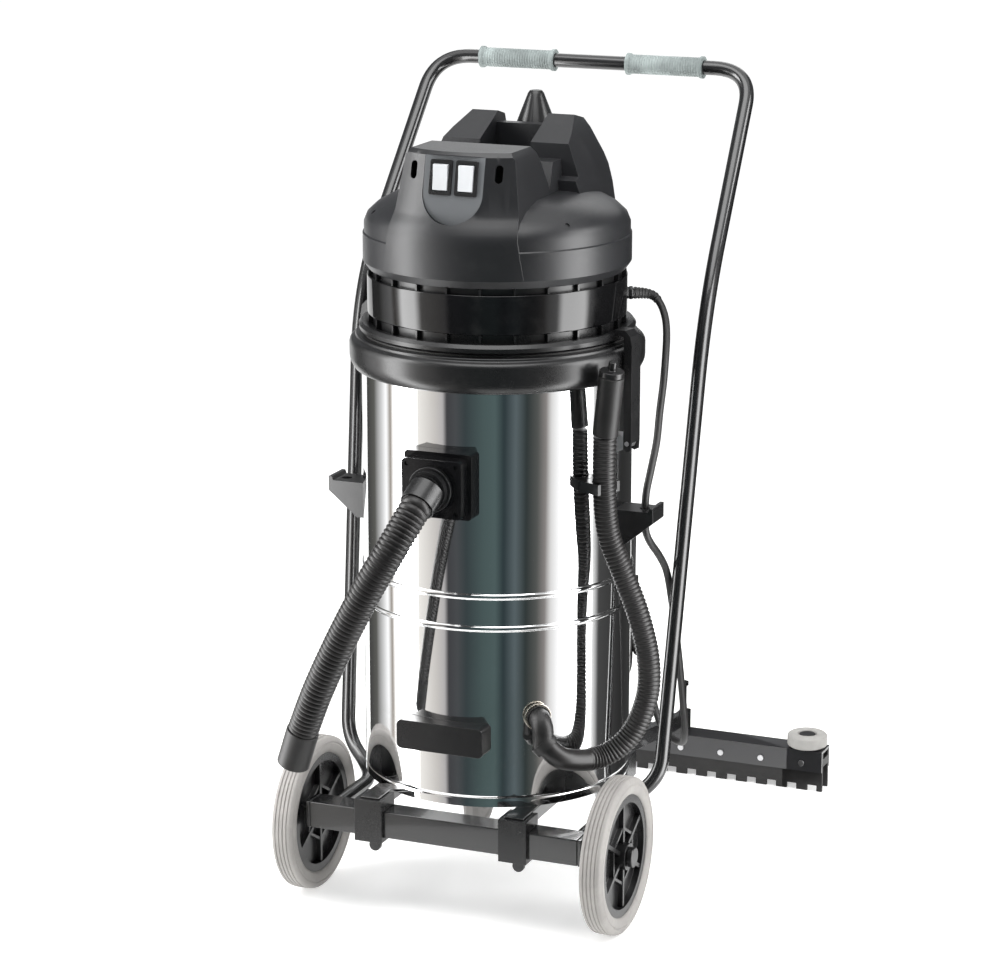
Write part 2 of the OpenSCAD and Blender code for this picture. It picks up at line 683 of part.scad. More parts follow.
module fin_solid() intersection() {
    along_y(-60, 200) polygon([[40, dome_z - 4], [40, turret_top + 27], [80, turret_top + 27],
        [94, turret_top + 4], [126, dome_z + 44], [138, dome_z - 4]]);
    along_x(30, 160) polygon([[4, dome_z], [8, dome_z + 62], [24, dome_z + 66], [30, turret_top - 8],
        [100, turret_top + 25], [126, turret_top + 18], [148, turret_top - 34], [160, dome_z]]);
    translate([0, 0, skirt_z]) cylinder(r = cowl_r - 7, h = 300, $fn = 96);
}

module cowl() color("#26272a") difference() {
    union() {
        rotate_extrude($fn = 96) dome_outline(0);
        turret_solid(0);
        deck_solid(0);
        mirrored() fin_solid();
        translate([-46, 93, dome_z + 30]) cube([92, 18, turret_top + 9 - dome_z - 30]);
    }
    rotate_extrude($fn = 96) dome_outline(shell);
    // the panel keeps a floor and a rim in front of the hollow
    difference() {
        turret_solid(shell);
        on_panel() translate([0, 0, -6]) linear_extrude(30) panel_outline(4);
    }
    intersection() {
        deck_solid(shell + 1.3);
        translate([-150, -150, 0]) cube([300, 400, recess_floor - shell - 2]);
    }
    // the hollow between the fins
    translate([-36, 8, recess_floor]) cube([72, 85, 100]);
    on_panel() translate([0, 0, -1.8]) linear_extrude(16) panel_outline(fit);
    on_panel() translate([-34, -60, -12]) cube([68, 52, 20]);
    for (s = [-1, 1]) on_panel() translate([s * 65, -22, -22]) linear_extrude(30)
        soft_square(11, 26, 5.4);
    for (b = [55, 125, 235, 305]) turned(b) translate([0, -cowl_r + 13.5, dome_z + 18])
        rotate([43, 0, 0]) translate([0, 0, -2]) cylinder(r = 4, h = 12);
}

module panel_outline(gap) {
    r = panel_w / 2 + gap;
    translate([-r, -panel_drop + panel_w / 2]) square([2 * r, panel_drop - panel_w / 2 + gap]);
    translate([0, -panel_drop + panel_w / 2]) circle(r = r);
}

module switch_panel() color("#6d7170") on_panel() difference() {
    union() {
        translate([0, 0, -1.7]) linear_extrude(3.4) panel_outline(0);
        for (s = [-1, 1]) translate([s * switch_x, -switch_drop - switch_h / 2, 0])
            linear_extrude(4.5) soft_square(switch_w + 4, switch_h + 4, 3);
    }
    for (s = [-1, 1]) translate([s * switch_x, -switch_drop - switch_h / 2, -3]) linear_extrude(12)
        square([switch_w - 6, switch_h - 6], center = true);
}

module rocker_shape(s) on_panel() translate([s * switch_x, -switch_drop - switch_h / 2, 0])
    difference() {
    rotate([90, 0, 90]) translate([0, 0, -(switch_w - 6) / 2 + rocker_gap / 2])
        linear_extrude(switch_w - 6 - rocker_gap) intersection() {
        polygon([[-switch_h / 2 + 4.6, -5], [switch_h / 2 - 4.6, -5], [switch_h / 2 - 4.4, 9.5],
            [0, 6], [-switch_h / 2 + 4.4, 4.6]]);
        circle(r = switch_h / 2 - 3.6);
    }
}

module rocker_right() color("#d8dadb") rocker_shape(1);

module rocker_left() color("#d8dadb") rocker_shape(-1);

module cable_post() color("#1a1a1b") translate([0, post_y, deck_z + eps]) {
    cylinder(r = post_r, h = 12);
    translate([0, 0, 12 - eps]) cylinder(r1 = post_r - 1, r2 = 12, h = 61);
    translate([0, 0, 73 - 2 * eps]) cylinder(r1 = 12, r2 = 9, h = 4);
}

// ---- inside the tank ----

module float_cage() color("#c8cbcc") difference() {
    translate([0, 0, pan_z - cage_h]) cylinder(r = cage_r, h = cage_h - gasket_h - fit);
    translate([0, 0, pan_z - cage_h + 3]) cylinder(r = cage_r - 3, h = cage_h);
    for (k = [0 : 7]) turned(45 * k) translate([cage_r - 6, -8, pan_z - cage_h + 10])
        cube([12, 16, cage_h - 30]);
}

module float_ball() color("#d9d4c6") translate([0, 0, pan_z - cage_h + 3.5 + float_r])
    sphere(r = float_r);

module filter_sleeve() color("#d7d7d2") difference() {
    translate([0, 0, pan_z - 150]) cylinder(r1 = 140, r2 = 160, h = 150 - gasket_h - fit);
    translate([0, 0, pan_z - 151]) cylinder(r1 = 136, r2 = 156, h = 153);
}

// ---- squeegee ----

module squeegee_arms() color("#1a1a1b") for (s = [-1, 1]) translate([s * arm_x, 0, 0]) {
    along_x(-8, 8) {
        translate([pivot_y, pivot_z]) circle(r = 11, $fn = 40);
        polygon([[pivot_y, pivot_z + 11], [pivot_y + 70, pivot_z + 6], [squeegee_back - 10, pin_foot],
            [squeegee_back - 10, pin_foot - 20], [squeegee_back - 60, pin_foot - 16],
            [pivot_y, pivot_z - 11]]);
        translate([squeegee_back - 24, bar_low + bar_h + 0.2])
            square([42, pin_foot - bar_low - bar_h - 0.2]);
    }
    translate([0, pivot_y, pivot_z]) rod_x(-17, 17, pivot_r - running);
    translate([0, squeegee_back, pin_foot - 1]) cylinder(r = 6, h = pin_top - pin_foot);
    translate([0, squeegee_back, pin_top - 6]) cylinder(r = 9, h = 6);
}

module squeegee_bar() color("#3a3b3c") difference() {
    along_x(-squeegee_w / 2, squeegee_w / 2) polygon([[squeegee_back - 22, bar_low],
        [squeegee_back - 18, bar_low], [squeegee_back - 18, bar_low + bar_h - 4], [squeegee_back + 18,
        bar_low + bar_h - 4], [squeegee_back + 18, bar_low], [squeegee_back + 22, bar_low],
        [squeegee_back + 22, bar_low + bar_h], [squeegee_back - 22, bar_low + bar_h]]);
    for (s = [-1, 1]) translate([s * roller_x, squeegee_back, bar_low + bar_h - 5]) cylinder(r = 4,
        h = 6);
    for (k = [-5 : 4]) translate([(k + 0.5) * squeegee_w / 10, 0, screw_z]) rod_y(squeegee_back - 23,
        squeegee_back - 17, 2.6);
}

module squeegee_fixings() color("#b9bbbc") {
    for (k = [-5 : 4]) translate([(k + 0.5) * squeegee_w / 10, 0, screw_z]) {
        rod_y(squeegee_back - 24.6, squeegee_back - 22 - eps, 5);
        rod_y(squeegee_back - 23, squeegee_back - 18.2, 2.5);
    }
    mirrored() translate([roller_x, squeegee_back, bar_low + bar_h]) {
        translate([0, 0, -3.9]) cylinder(r = 3.9, h = 4.5);
        translate([0, 0, 0.2]) cylinder(r = 5, h = 18.4);
        translate([0, 0, 18.3]) cylinder(r = 13, h = 4.5);
    }
}

module squeegee_blades() color("#151515") difference() {
    union() {
        translate([-squeegee_w / 2, squeegee_back - 17.7, 0])
            cube([squeegee_w, 5, bar_low + bar_h - 4.3]);
        translate([-squeegee_w / 2, squeegee_back + 12.7, 0])
            cube([squeegee_w, 5, bar_low + bar_h - 4.3]);
        translate([-squeegee_w / 2, squeegee_back - 12.7, bar_low + 8]) cube([squeegee_w, 25.4, 14]);
    }
    for (k = [0 : notches - 1]) translate([(k + 0.5 - notches / 2) * squeegee_w / notches - 8,
        squeegee_back - 20, -1]) cube([16, 10, 11]);
}

module roller_shape() translate([roller_x, squeegee_back, bar_low + bar_h]) difference() {
    rotate_extrude() polygon([[5 + running, 2], [roller_r - 4, 2], [roller_r, 5], [roller_r, 21],
        [roller_r - 4, 24], [14, 24], [14, 18], [5 + running, 18]]);
}

module bumper_rollers_right() color("#a9a8a4") roller_shape();

module bumper_rollers_left() color("#a9a8a4") mirror([1, 0, 0]) roller_shape();

// ---- mains cable ----

module mains_cable() color("#1a1a1a") swept(smooth_path(cable_route, 3), cable_d / 2, 8);

module hank_outline(w, h) {
    square([w, h - w], center = true);
    for (s = [-1, 1]) translate([0, s * (h - w) / 2]) circle(r = w / 2);
}

// The short end of the cable that leaves the hank, with its plug
module mains_plug() color("#1d1d1e") {
    swept(smooth_path(tail_route, 3), cable_d / 2, 12);
    translate(tail_route[3] - [0, 0, 48]) {
        cylinder(r = 18, h = 36);
        translate([0, 0, 36 - eps]) cylinder(r1 = 18, r2 = cable_d / 2 + 2, h = 14);
        for (s = [-1, 1]) translate([s * 9.5, 0, -19]) cylinder(r = 2.4, h = 20);
    }
}

// The tank's rear peg carries the hank of spare cable
module hank_peg() color("#1a1a1b") translate([hank_x, 0, peg_z]) difference() {
    union() {
        rod_y(tank_r * 0.9, hank_y + hank_t / 2 + 8, peg_r);
        rod_y(hank_y + hank_t / 2 + 3, hank_y + hank_t / 2 + 8, 20);
    }
    translate([-hank_x, 0, -40]) cylinder(r = tank_r + fit, h = 80, $fn = 120);
    for (z = [bead_z, bead_z - bead_gap]) translate([-hank_x, 0, z - peg_z - 2 * bead_r]) {
        cylinder(r = tank_r + bead_r + fit, h = 4 * bead_r, $fn = 120);
    }
}

module cable_hank() color("#1a1a1a") translate([hank_x, 0, (hank_low + hank_top) / 2])
    along_y(hank_y - hank_t / 2, hank_y + hank_t / 2) difference() {
    hank_outline(hank_w, hank_top - hank_low);
    hank_outline(hank_w - 2 * hank_t, hank_top - hank_low - 2 * hank_t);
}

module placed() translate(base_shift) children();

// ---- nodes ----

placed() tank_shell();
placed() tank_ring();
placed() tank_gasket();
placed() inlet_box();
placed() inlet_port();
placed() hose_connector();
placed() suction_hose();
placed() hose_cuff();
placed() front_grip();
placed() side_hooks();
placed() drain_outlet();
placed() drain_elbow();
placed() drain_hose();
placed() drain_clip();
placed() drain_cuff();
placed() drain_plug();
placed() cross_beam();
placed() beam_caps();
placed() axle_left();
placed() axle_right();
placed() rear_beam();
placed() cradle_rails();
placed() clamp_blocks();
placed() wing_bolts();
placed() handle_tube();
placed() handle_grips();
placed() tyre_left();
placed() tyre_right();
placed() hub_left();
placed() hub_right();
placed() hub_caps();
placed() caster_fork_left();
placed() caster_fork_right();
placed() caster_wheel_left();
placed() caster_wheel_right();
placed() latch_left();
placed() latch_right();
placed() latch_brackets();
placed() head_pan();
placed() motors();
placed() motor_seals();
placed() motor_band();
placed() cowl();
placed() switch_panel();
placed() rocker_left();
placed() rocker_right();
placed() cable_post();
placed() float_cage();
placed() float_ball();
placed() filter_sleeve();
placed() squeegee_arms();
placed() squeegee_bar();
placed() squeegee_blades();
placed() squeegee_fixings();
placed() bumper_rollers_left();
placed() bumper_rollers_right();
placed() mains_cable();
placed() cable_hank();
placed() hank_peg();
placed() mains_plug();
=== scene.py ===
import bpy
import bmesh
import math
import numpy as np
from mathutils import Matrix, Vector


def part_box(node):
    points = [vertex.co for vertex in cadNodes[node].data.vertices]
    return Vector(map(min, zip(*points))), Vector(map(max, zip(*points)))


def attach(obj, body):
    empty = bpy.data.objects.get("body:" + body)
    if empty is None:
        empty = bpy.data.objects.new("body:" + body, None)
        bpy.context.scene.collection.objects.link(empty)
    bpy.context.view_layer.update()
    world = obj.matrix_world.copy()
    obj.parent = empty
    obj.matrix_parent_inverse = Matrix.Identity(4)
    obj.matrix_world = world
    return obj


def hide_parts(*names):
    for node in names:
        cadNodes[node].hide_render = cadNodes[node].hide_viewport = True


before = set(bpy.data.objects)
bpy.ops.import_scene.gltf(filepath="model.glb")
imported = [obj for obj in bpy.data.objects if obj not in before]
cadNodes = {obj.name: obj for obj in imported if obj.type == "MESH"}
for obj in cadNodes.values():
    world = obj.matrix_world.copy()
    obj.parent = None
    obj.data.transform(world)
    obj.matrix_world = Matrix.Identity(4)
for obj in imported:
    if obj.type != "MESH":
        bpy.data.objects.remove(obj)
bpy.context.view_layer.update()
tankShift = np.array([0.0, -0.175, 0.0])  # from the tank's axis to the frame's middle
print("frame loaded,", len(cadNodes), "nodes")


def inFrame(points):
    # millimetres about the tank's axis to metres in the frame
    return np.asarray(points, float) / 1000 + tankShift


def gridQuads(rows, cols, loopRows=False, loopCols=True):
    # the four corners of each cell of a rows by cols grid of points
    i = np.arange(rows if loopRows else rows - 1)[:, None]
    j = np.arange(cols if loopCols else cols - 1)[None, :]
    nextI, nextJ = (i + 1) % rows, (j + 1) % cols
    corners = [i * cols + j, i * cols + nextJ, nextI * cols + nextJ, nextI * cols + j]
    return np.stack(corners, -1).reshape(-1, 4)


def buildMesh(name, points, quads, uv=None, sharp=40):
    # turns every face outwards by the sign of the volume it closes
    points, quads = np.asarray(points, float).reshape(-1, 3), np.asarray(quads)
    a, b, c, d = (points[quads[:, k]] for k in range(4))
    volume = (np.cross(b - a, c - a) * a).sum() + (np.cross(c - a, d - a) * a).sum()
    if volume < 0:
        quads = quads[:, ::-1]
    mesh = bpy.data.meshes.new(name)
    mesh.from_pydata(points.tolist(), [], quads.tolist())
    if uv is not None:
        layer = mesh.uv_layers.new(name="along")
        layer.data.foreach_set("uv", np.asarray(uv, float).reshape(-1, 2)[quads.ravel()].ravel())
    bm = bmesh.new()
    bm.from_mesh(mesh)
    bmesh.ops.remove_doubles(bm, verts=bm.verts, dist=2e-6)
    bmesh.ops.dissolve_degenerate(bm, dist=1e-7, edges=bm.edges)
    bm.to_mesh(mesh)
    bm.free()
    mesh.polygons.foreach_set("use_smooth", np.ones(len(mesh.polygons), bool))
    mesh.set_sharp_from_angle(angle=math.radians(sharp))
    mesh.update()
    piece = bpy.data.objects.new(name, mesh)
    bpy.context.scene.collection.objects.link(piece)
    return piece


def roundedProfile(corners, radius, steps=5, closed=True):
    # each corner becomes a parabola that leaves it radius before and joins radius after
    p = np.asarray(corners, float)
    radius = np.broadcast_to(np.asarray(radius, float), len(p))
    back, ahead = np.roll(p, 1, 0), np.roll(p, -1, 0)
    toBack, toAhead = back - p, ahead - p
    lengthBack = np.linalg.norm(toBack, axis=1, keepdims=True)
    lengthAhead = np.linalg.norm(toAhead, axis=1, keepdims=True)
    r = np.minimum(radius[:, None], 0.49 * np.minimum(lengthBack, lengthAhead))
    start, end = p + toBack / lengthBack * r, p + toAhead / lengthAhead * r
    t = np.linspace(0, 1, steps)[None, :, None]
    curve = (1 - t) ** 2 * start[:, None] + 2 * t * (1 - t) * p[:, None] + t ** 2 * end[:, None]
    if not closed:
        return np.concatenate([p[:1], curve[1:-1].reshape(-1, p.shape[1]), p[-1:]])
    return curve.reshape(-1, p.shape[1])


def turnedPiece(name, profile, centre, axis="z", segments=96, closed=True, sharp=40):
    # radius and height of the profile carried round the axis: (r cos a, r sin a, h)
    profile = np.asarray(profile, float)
    angle = np.linspace(0, 2 * np.pi, segments, endpoint=False)[None, :]
    r, h = profile[:, :1], profile[:, 1:2] + 0 * angle
    u, v = r * np.cos(angle), r * np.sin(angle)
    xyz = {"z": (u, v, h), "x": (h, u, v), "y": (v, h, u)}[axis]
    points = np.stack(xyz, -1) + np.asarray(centre, float)
    return buildMesh(name, points, gridQuads(len(profile), segments, closed, True), sharp=sharp)


def smoothPath(points, steps):
    # Catmull-Rom curve through the points: half the sum of 2b, (c - a) t,
    # (2a - 5b + 4c - d) t squared and (3b - 3c + d - a) t cubed between b and c
    p = np.asarray(points, float)
    p = np.concatenate([p[:1], p, p[-1:]])
    a, b, c, d = (p[k:len(p) - 3 + k, None] for k in range(4))
    t = (np.arange(steps) / steps)[None, :, None]
    square, cube = 2 * a - 5 * b + 4 * c - d, 3 * b - 3 * c + d - a
    curve = 0.5 * (2 * b + (c - a) * t + square * t ** 2 + cube * t ** 3)
    return np.concatenate([curve.reshape(-1, 3), p[-1:]])


def distanceAlong(path):
    # running sum of the lengths between neighbouring points
    return np.concatenate([[0], np.cumsum(np.linalg.norm(np.diff(path, axis=0), axis=1))])


def evenly(path, step):
    # the same line with its points a fixed step apart
    s = distanceAlong(path)
    at = np.linspace(0, s[-1], max(int(round(s[-1] / step)), 2) + 1)
    return np.stack([np.interp(at, s, path[:, k]) for k in range(3)], -1)


def frameAlong(path):
    # tangents, and two normals made from the fixed direction that lies furthest from every tangent
    tangent = np.gradient(path, axis=0)
    tangent /= np.linalg.norm(tangent, axis=1, keepdims=True)
    k = np.arange(200)
    height, turn = 1 - (k + 0.5) / 100, k * 2.39996
    ring = np.sqrt(1 - height ** 2)
    choices = np.stack([ring * np.cos(turn), ring * np.sin(turn), height], -1)
    reference = choices[np.abs(tangent @ choices.T).max(0).argmin()]
    first = np.cross(tangent, reference)
    first /= np.linalg.norm(first, axis=1, keepdims=True)
    return tangent, first, np.cross(tangent, first)


def tubeAlong(name, path, radius, sides=32):
    # circle of the given radius carried along the path, with flat ends: p + r (cos a n + sin a b)
    radius = np.broadcast_to(np.asarray(radius, float), len(path))
    tangent, first, second = frameAlong(path)
    angle = np.linspace(0, 2 * np.pi, sides, endpoint=False)
    across, upright = np.cos(angle)[None, :, None], np.sin(angle)[None, :, None]
    around = across * first[:, None] + upright * second[:, None]
    rings = path[:, None] + radius[:, None, None] * around
    s = distanceAlong(path)
    uv = np.stack(np.broadcast_arrays(s[:, None], (np.arange(sides) / sides)[None, :]), -1)
    firstEnd, lastEnd = path[:1, None] + 0 * around[:1], path[-1:, None] + 0 * around[-1:]
    rings = np.concatenate([firstEnd, rings, lastEnd])
    uv = np.concatenate([uv[:1], uv, uv[-1:]])
    return buildMesh(name, rings, gridQuads(len(rings), sides), uv)


def softened(name, node, width, steps=2, angle=32):
    # a merged copy of the CAD piece, its flat faces joined up and its edges rounded by a bevel
    mesh = cadNodes[node].data.copy()
    mesh.name = name
    bm = bmesh.new()
    bm.from_mesh(mesh)
    bmesh.ops.remove_doubles(bm, verts=bm.verts, dist=1e-5)
    bmesh.ops.dissolve_degenerate(bm, dist=2e-5, edges=bm.edges)
    bmesh.ops.dissolve_limit(bm, angle_limit=math.radians(0.6), verts=bm.verts, edges=bm.edges)
    bm.to_mesh(mesh)
    bm.free()
    if "custom_normal" in mesh.attributes:
        mesh.attributes.remove(mesh.attributes["custom_normal"])
    mesh.polygons.foreach_set("use_smooth", np.ones(len(mesh.polygons), bool))
    mesh.set_sharp_from_angle(angle=math.radians(angle))
    mesh.update()
    piece = bpy.data.objects.new(name, mesh)
    bpy.context.scene.collection.objects.link(piece)
    if width > 0:
        bevel = piece.modifiers.new("edges", "BEVEL")
        bevel.width, bevel.segments, bevel.limit_method = width, steps, "ANGLE"
        bevel.angle_limit = math.radians(angle)
        bevel.use_clamp_overlap, bevel.harden_normals = True, True
    return piece


def fit(piece, body, slot, material, *nodes):
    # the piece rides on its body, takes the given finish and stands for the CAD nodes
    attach(piece, body)
    piece.data.materials.clear()
    piece.data.materials.append(material)
    if nodes:
        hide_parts(*nodes)
    return piece


class Wire:
    # one output socket; sums and products on it add Math nodes
    def __init__(self, finish, socket):
        self.finish, self.socket = finish, socket

    def math(self, operation, *others, swap=False):
        values = [self, *others]
        if swap:
            values.reverse()
        node = self.finish.node("Math", {"operation": operation}, dict(enumerate(values)))
        return Wire(self.finish, node.outputs[0])

    def __add__(self, other):
        return self.math("ADD", other)

    def __sub__(self, other):
        return self.math("SUBTRACT", other)

    def __rsub__(self, other):
        return self.math("SUBTRACT", other, swap=True)

    def __mul__(self, other):
        return self.math("MULTIPLY", other)

    __radd__ = __add__
    __rmul__ = __mul__


class Finish:
    # one material and its nodes
    def __init__(self, name, **constants):
        self.material = bpy.data.materials.new(name)
        self.material.use_nodes = True
        self.tree = self.material.node_tree
        self.shader = self.tree.nodes["Principled BSDF"]
        for socket, value in constants.items():
            self.shader.inputs[socket.replace("_", " ")].default_value = value

    def node(self, kind, settings=None, sockets=None):
        made = self.tree.nodes.new("ShaderNode" + kind)
        for key, value in (settings or {}).items():
            if key == "stops":
                ramp = made.color_ramp
                for element, (at, colour) in zip(ramp.elements, (value[0], value[-1])):
                    element.position, element.color = at, colour
                for at, colour in value[1:-1]:
                    ramp.elements.new(at).color = colour
            else:
                setattr(made, key, value)
        for key, value in (sockets or {}).items():
            if isinstance(value, Wire):
                self.tree.links.new(value.socket, made.inputs[key])
            else:
                made.inputs[key].default_value = value
        return made

    def place(self, stretch=(1, 1, 1), source="Object"):
        coordinates = Wire(self, self.node("TexCoord").outputs[source])
        mapping = self.node("Mapping", {}, {"Vector": coordinates, "Scale": stretch})
        return Wire(self, mapping.outputs[0])

    def noise(self, scale, detail=3.0, rough=0.55, stretch=(1, 1, 1), warp=0.0):
        sockets = {"Vector": self.place(stretch), "Scale": scale, "Detail": detail}
        sockets.update({"Roughness": rough, "Distortion": warp})
        return Wire(self, self.node("TexNoise", {}, sockets).outputs["Fac"])

    def cells(self, scale):
        made = self.node("TexVoronoi", {}, {"Vector": self.place(), "Scale": scale})
        return Wire(self, made.outputs["Distance"])

    def spread(self, value, low, high):
        # 0 below low, 1 above high, a soft step between them
        sockets = {"Value": value, "From Min": low, "From Max": high}
        made = self.node("MapRange", {"interpolation_type": "SMOOTHSTEP"}, sockets)
        return Wire(self, made.outputs[0])

    def mix(self, amount, first, second):
        made = self.node("Mix", {"data_type": "RGBA"}, {0: amount, 6: first, 7: second})
        return Wire(self, made.outputs[2])

    def along(self):
        # the first of the mesh's own UV values
        made = self.node("SeparateXYZ", {}, {0: self.place(source="UV")})
        return Wire(self, made.outputs[0])

    def feed(self, socket, value):
        if isinstance(value, Wire):
            self.tree.links.new(value.socket, self.shader.inputs[socket])
        else:
            self.shader.inputs[socket].default_value = value

    def bump(self, *layers):
        # each layer is a height and how many metres it stands for
        normal = None
        for height, distance in layers:
            sockets = {"Height": height, "Distance": distance, "Strength": 1.0}
            if normal is not None:
                sockets["Normal"] = normal
            normal = Wire(self, self.node("Bump", {}, sockets).outputs[0])
        self.feed("Normal", normal)


def shade(rgb, factor=1.0):
    # a colour made darker or lighter, with its alpha
    return (rgb[0] * factor, rgb[1] * factor, rgb[2] * factor, 1.0)


greyDust = (0.1, 0.098, 0.094)


def mouldedPlastic(name, colour, rough, grain, grainScale, dust=0.09, gloss=0.5, dustColour=greyDust):
    f = Finish(name, Specular_IOR_Level=gloss)
    fine, cloud = f.noise(grainScale, 2.0), f.noise(9.0, 4.0, 0.6)
    scuff = f.spread(f.noise(60.0, 5.0, 0.7, (1, 1, 0.25)), 0.58, 0.78)
    settled = f.spread(f.noise(26.0, 5.0, 0.65), 0.52, 0.8) * dust
    base = f.mix(cloud, shade(colour, 0.78), shade(colour, 1.3))
    f.feed("Base Color", f.mix(settled, base, shade(dustColour)))
    f.feed("Roughness", cloud * 0.1 + scuff * 0.09 + fine * 0.05 + (rough - 0.09))
    f.bump((fine, grain), (scuff, -0.00002))
    return f.material


def blackEnamel(name, colour, rough):
    f = Finish(name, Specular_IOR_Level=0.55, Coat_Weight=0.6, Coat_Roughness=0.06)
    peel, cloud = f.noise(260.0, 2.0), f.noise(7.0, 4.0)
    chips = f.spread(f.noise(120.0, 6.0, 0.75, (1, 1, 0.5)), 0.7, 0.76)
    base = f.mix(cloud, shade(colour, 0.7), shade(colour, 1.5))
    f.feed("Base Color", f.mix(chips * 0.35, base, shade((0.09, 0.088, 0.085))))
    f.feed("Roughness", cloud * 0.09 + chips * 0.2 + rough)
    f.bump((peel, 0.00003), (chips, -0.00004))
    return f.material


def blackRubber(name, colour, rough, grain=0.00004):
    f = Finish(name, Specular_IOR_Level=0.42)
    fine, bloom = f.noise(700.0, 3.0), f.noise(16.0, 5.0, 0.65)
    base = f.mix(f.spread(bloom, 0.35, 0.75), shade(colour, 0.8), shade(colour, 1.7))
    f.feed("Base Color", base)
    f.feed("Roughness", bloom * 0.16 + fine * 0.06 + (rough - 0.1))
    f.bump((fine, grain))
    return f.material


def polishedSteel(name):
    f = Finish(name, Metallic=1.0)
    drawn = f.noise(60.0, 4.0, 0.7, (1, 1, 9))  # fine hoops left by rolling
    wave = f.noise(1.0, 1.5, 0.4, (5.0, 5.0, 1.1))
    smear = f.spread(f.noise(5.0, 6.0, 0.62, warp=0.8), 0.45, 0.8)
    f.feed("Base Color", f.mix(smear, shade((0.86, 0.865, 0.87)), shade((0.79, 0.79, 0.78))))
    f.feed("Roughness", smear * 0.07 + drawn * 0.03 + 0.035)
    f.bump((wave, 0.0022), (drawn, 0.0000025))
    return f.material


def platedSteel(name, colour=(0.6, 0.6, 0.61), rough=0.3):
    f = Finish(name, Metallic=1.0)
    spangle, fine = f.cells(220.0), f.noise(500.0, 3.0)
    tarnish = f.spread(f.noise(22.0, 5.0, 0.7), 0.5, 0.8)
    f.feed("Base Color", f.mix(tarnish, shade(colour), shade(colour, 0.6)))
    f.feed("Roughness", spangle * 0.12 + tarnish * 0.2 + rough)
    f.bump((fine, 0.00002))
    return f.material


def greyTread(name, colour, worn=(0.2, 0.19, 0.18)):
    f = Finish(name, Specular_IOR_Level=0.35)
    speckle, cloud = f.noise(420.0, 4.0, 0.7), f.noise(14.0, 5.0, 0.65)
    rubbed = f.spread(f.noise(48.0, 6.0, 0.72), 0.52, 0.75)
    base = f.mix(f.spread(cloud, 0.3, 0.75), shade(colour, 0.88), shade(colour, 1.08))
    f.feed("Base Color", f.mix(rubbed * 0.28, base, shade(worn)))
    f.feed("Roughness", speckle * 0.12 + rubbed * 0.08 + 0.6)
    f.bump((speckle, 0.00012), (rubbed, -0.00005))
    return f.material


def filterCloth(name):
    f = Finish(name, Sheen_Weight=0.3)
    weave = f.node("TexChecker", {}, {"Vector": f.place(), "Scale": 900.0})
    fuzz, stain = f.noise(240.0, 5.0, 0.7), f.spread(f.noise(8.0, 5.0, 0.6), 0.45, 0.8)
    f.feed("Base Color", f.mix(stain, shade((0.6, 0.6, 0.56)), shade((0.4, 0.39, 0.34))))
    f.feed("Roughness", fuzz * 0.15 + 0.78)
    f.bump((fuzz, 0.0003), (Wire(f, weave.outputs["Fac"]), 0.00012))
    return f.material


steel = polishedSteel("polished_steel")
ringPlastic = mouldedPlastic("ring_plastic", (0.0085, 0.0085, 0.009), 0.3, 0.00003, 700.0)
cowlPlastic = mouldedPlastic("cowl_plastic", (0.012, 0.0124, 0.014), 0.38, 0.00009, 1100.0)
glossPlastic = mouldedPlastic("gloss_black_plastic", (0.004, 0.004, 0.0045), 0.1, 0.000004, 300.0, 0.1, 0.55)
rubber = blackRubber("black_rubber", (0.0105, 0.01, 0.01), 0.46)
hosePlastic = blackRubber("hose_plastic", (0.0115, 0.0105, 0.0105), 0.38, 0.00002)
tyreGrey = greyTread("tyre_grey", (0.36, 0.345, 0.33))
casterGrey = greyTread("caster_grey", (0.24, 0.232, 0.224))
rollerGrey = greyTread("roller_grey", (0.38, 0.372, 0.355))
enamel = blackEnamel("black_paint", (0.007, 0.007, 0.0075), 0.2)
gripGrey = blackRubber("grip_grey", (0.24, 0.275, 0.27), 0.55, 0.00008)
panelGrey = mouldedPlastic("panel_grey", (0.1, 0.106, 0.112), 0.45, 0.0001, 1300.0)
rockerDust = (0.45, 0.44, 0.42)
rockerWhite = mouldedPlastic("rocker_white", (0.6, 0.615, 0.63), 0.22, 0.000006, 400.0, 0.12, 0.5, rockerDust)
zinc = platedSteel("zinc_steel")
castMetal = platedSteel("motor_metal", (0.55, 0.55, 0.54), 0.42)
barGrey = blackEnamel("bar_grey", (0.016, 0.016, 0.018), 0.34)
drainMetal = platedSteel("drain_metal", (0.66, 0.6, 0.52), 0.22)
palePlastic = mouldedPlastic("cage_plastic", (0.5, 0.5, 0.49), 0.4, 0.00004, 800.0)
cloth = filterCloth("filter_cloth")
print("finishes made")

cameraValues = {"place": (1.786, -4.479, 1.812), "tilt": 75.65, "turn": 22.49, "lens": 116.2}
cameraData = bpy.data.cameras.new("camera")
cameraData.lens, cameraData.sensor_width = cameraValues["lens"], 36
camera = bpy.data.objects.new("camera", cameraData)
camera.location = cameraValues["place"]
camera.rotation_euler = (math.radians(cameraValues["tilt"]), 0, math.radians(cameraValues["turn"]))
bpy.context.scene.collection.objects.link(camera)
bpy.context.scene.camera = camera

suctionHose = {"diameter": 0.046, "pitch": 0.0068, "depth": 0.0021}
hoseRoute = inFrame([
    [0, -268, 670], [-3, -284, 659], [-6, -300, 648], [-28, -322, 600],
    [-62, -332, 538], [-102, -336, 460], [-138, -336, 384], [-166, -330, 318]])
hosePath = evenly(smoothPath(hoseRoute, 40), suctionHose["pitch"] / 10)
alongHose = distanceAlong(hosePath)
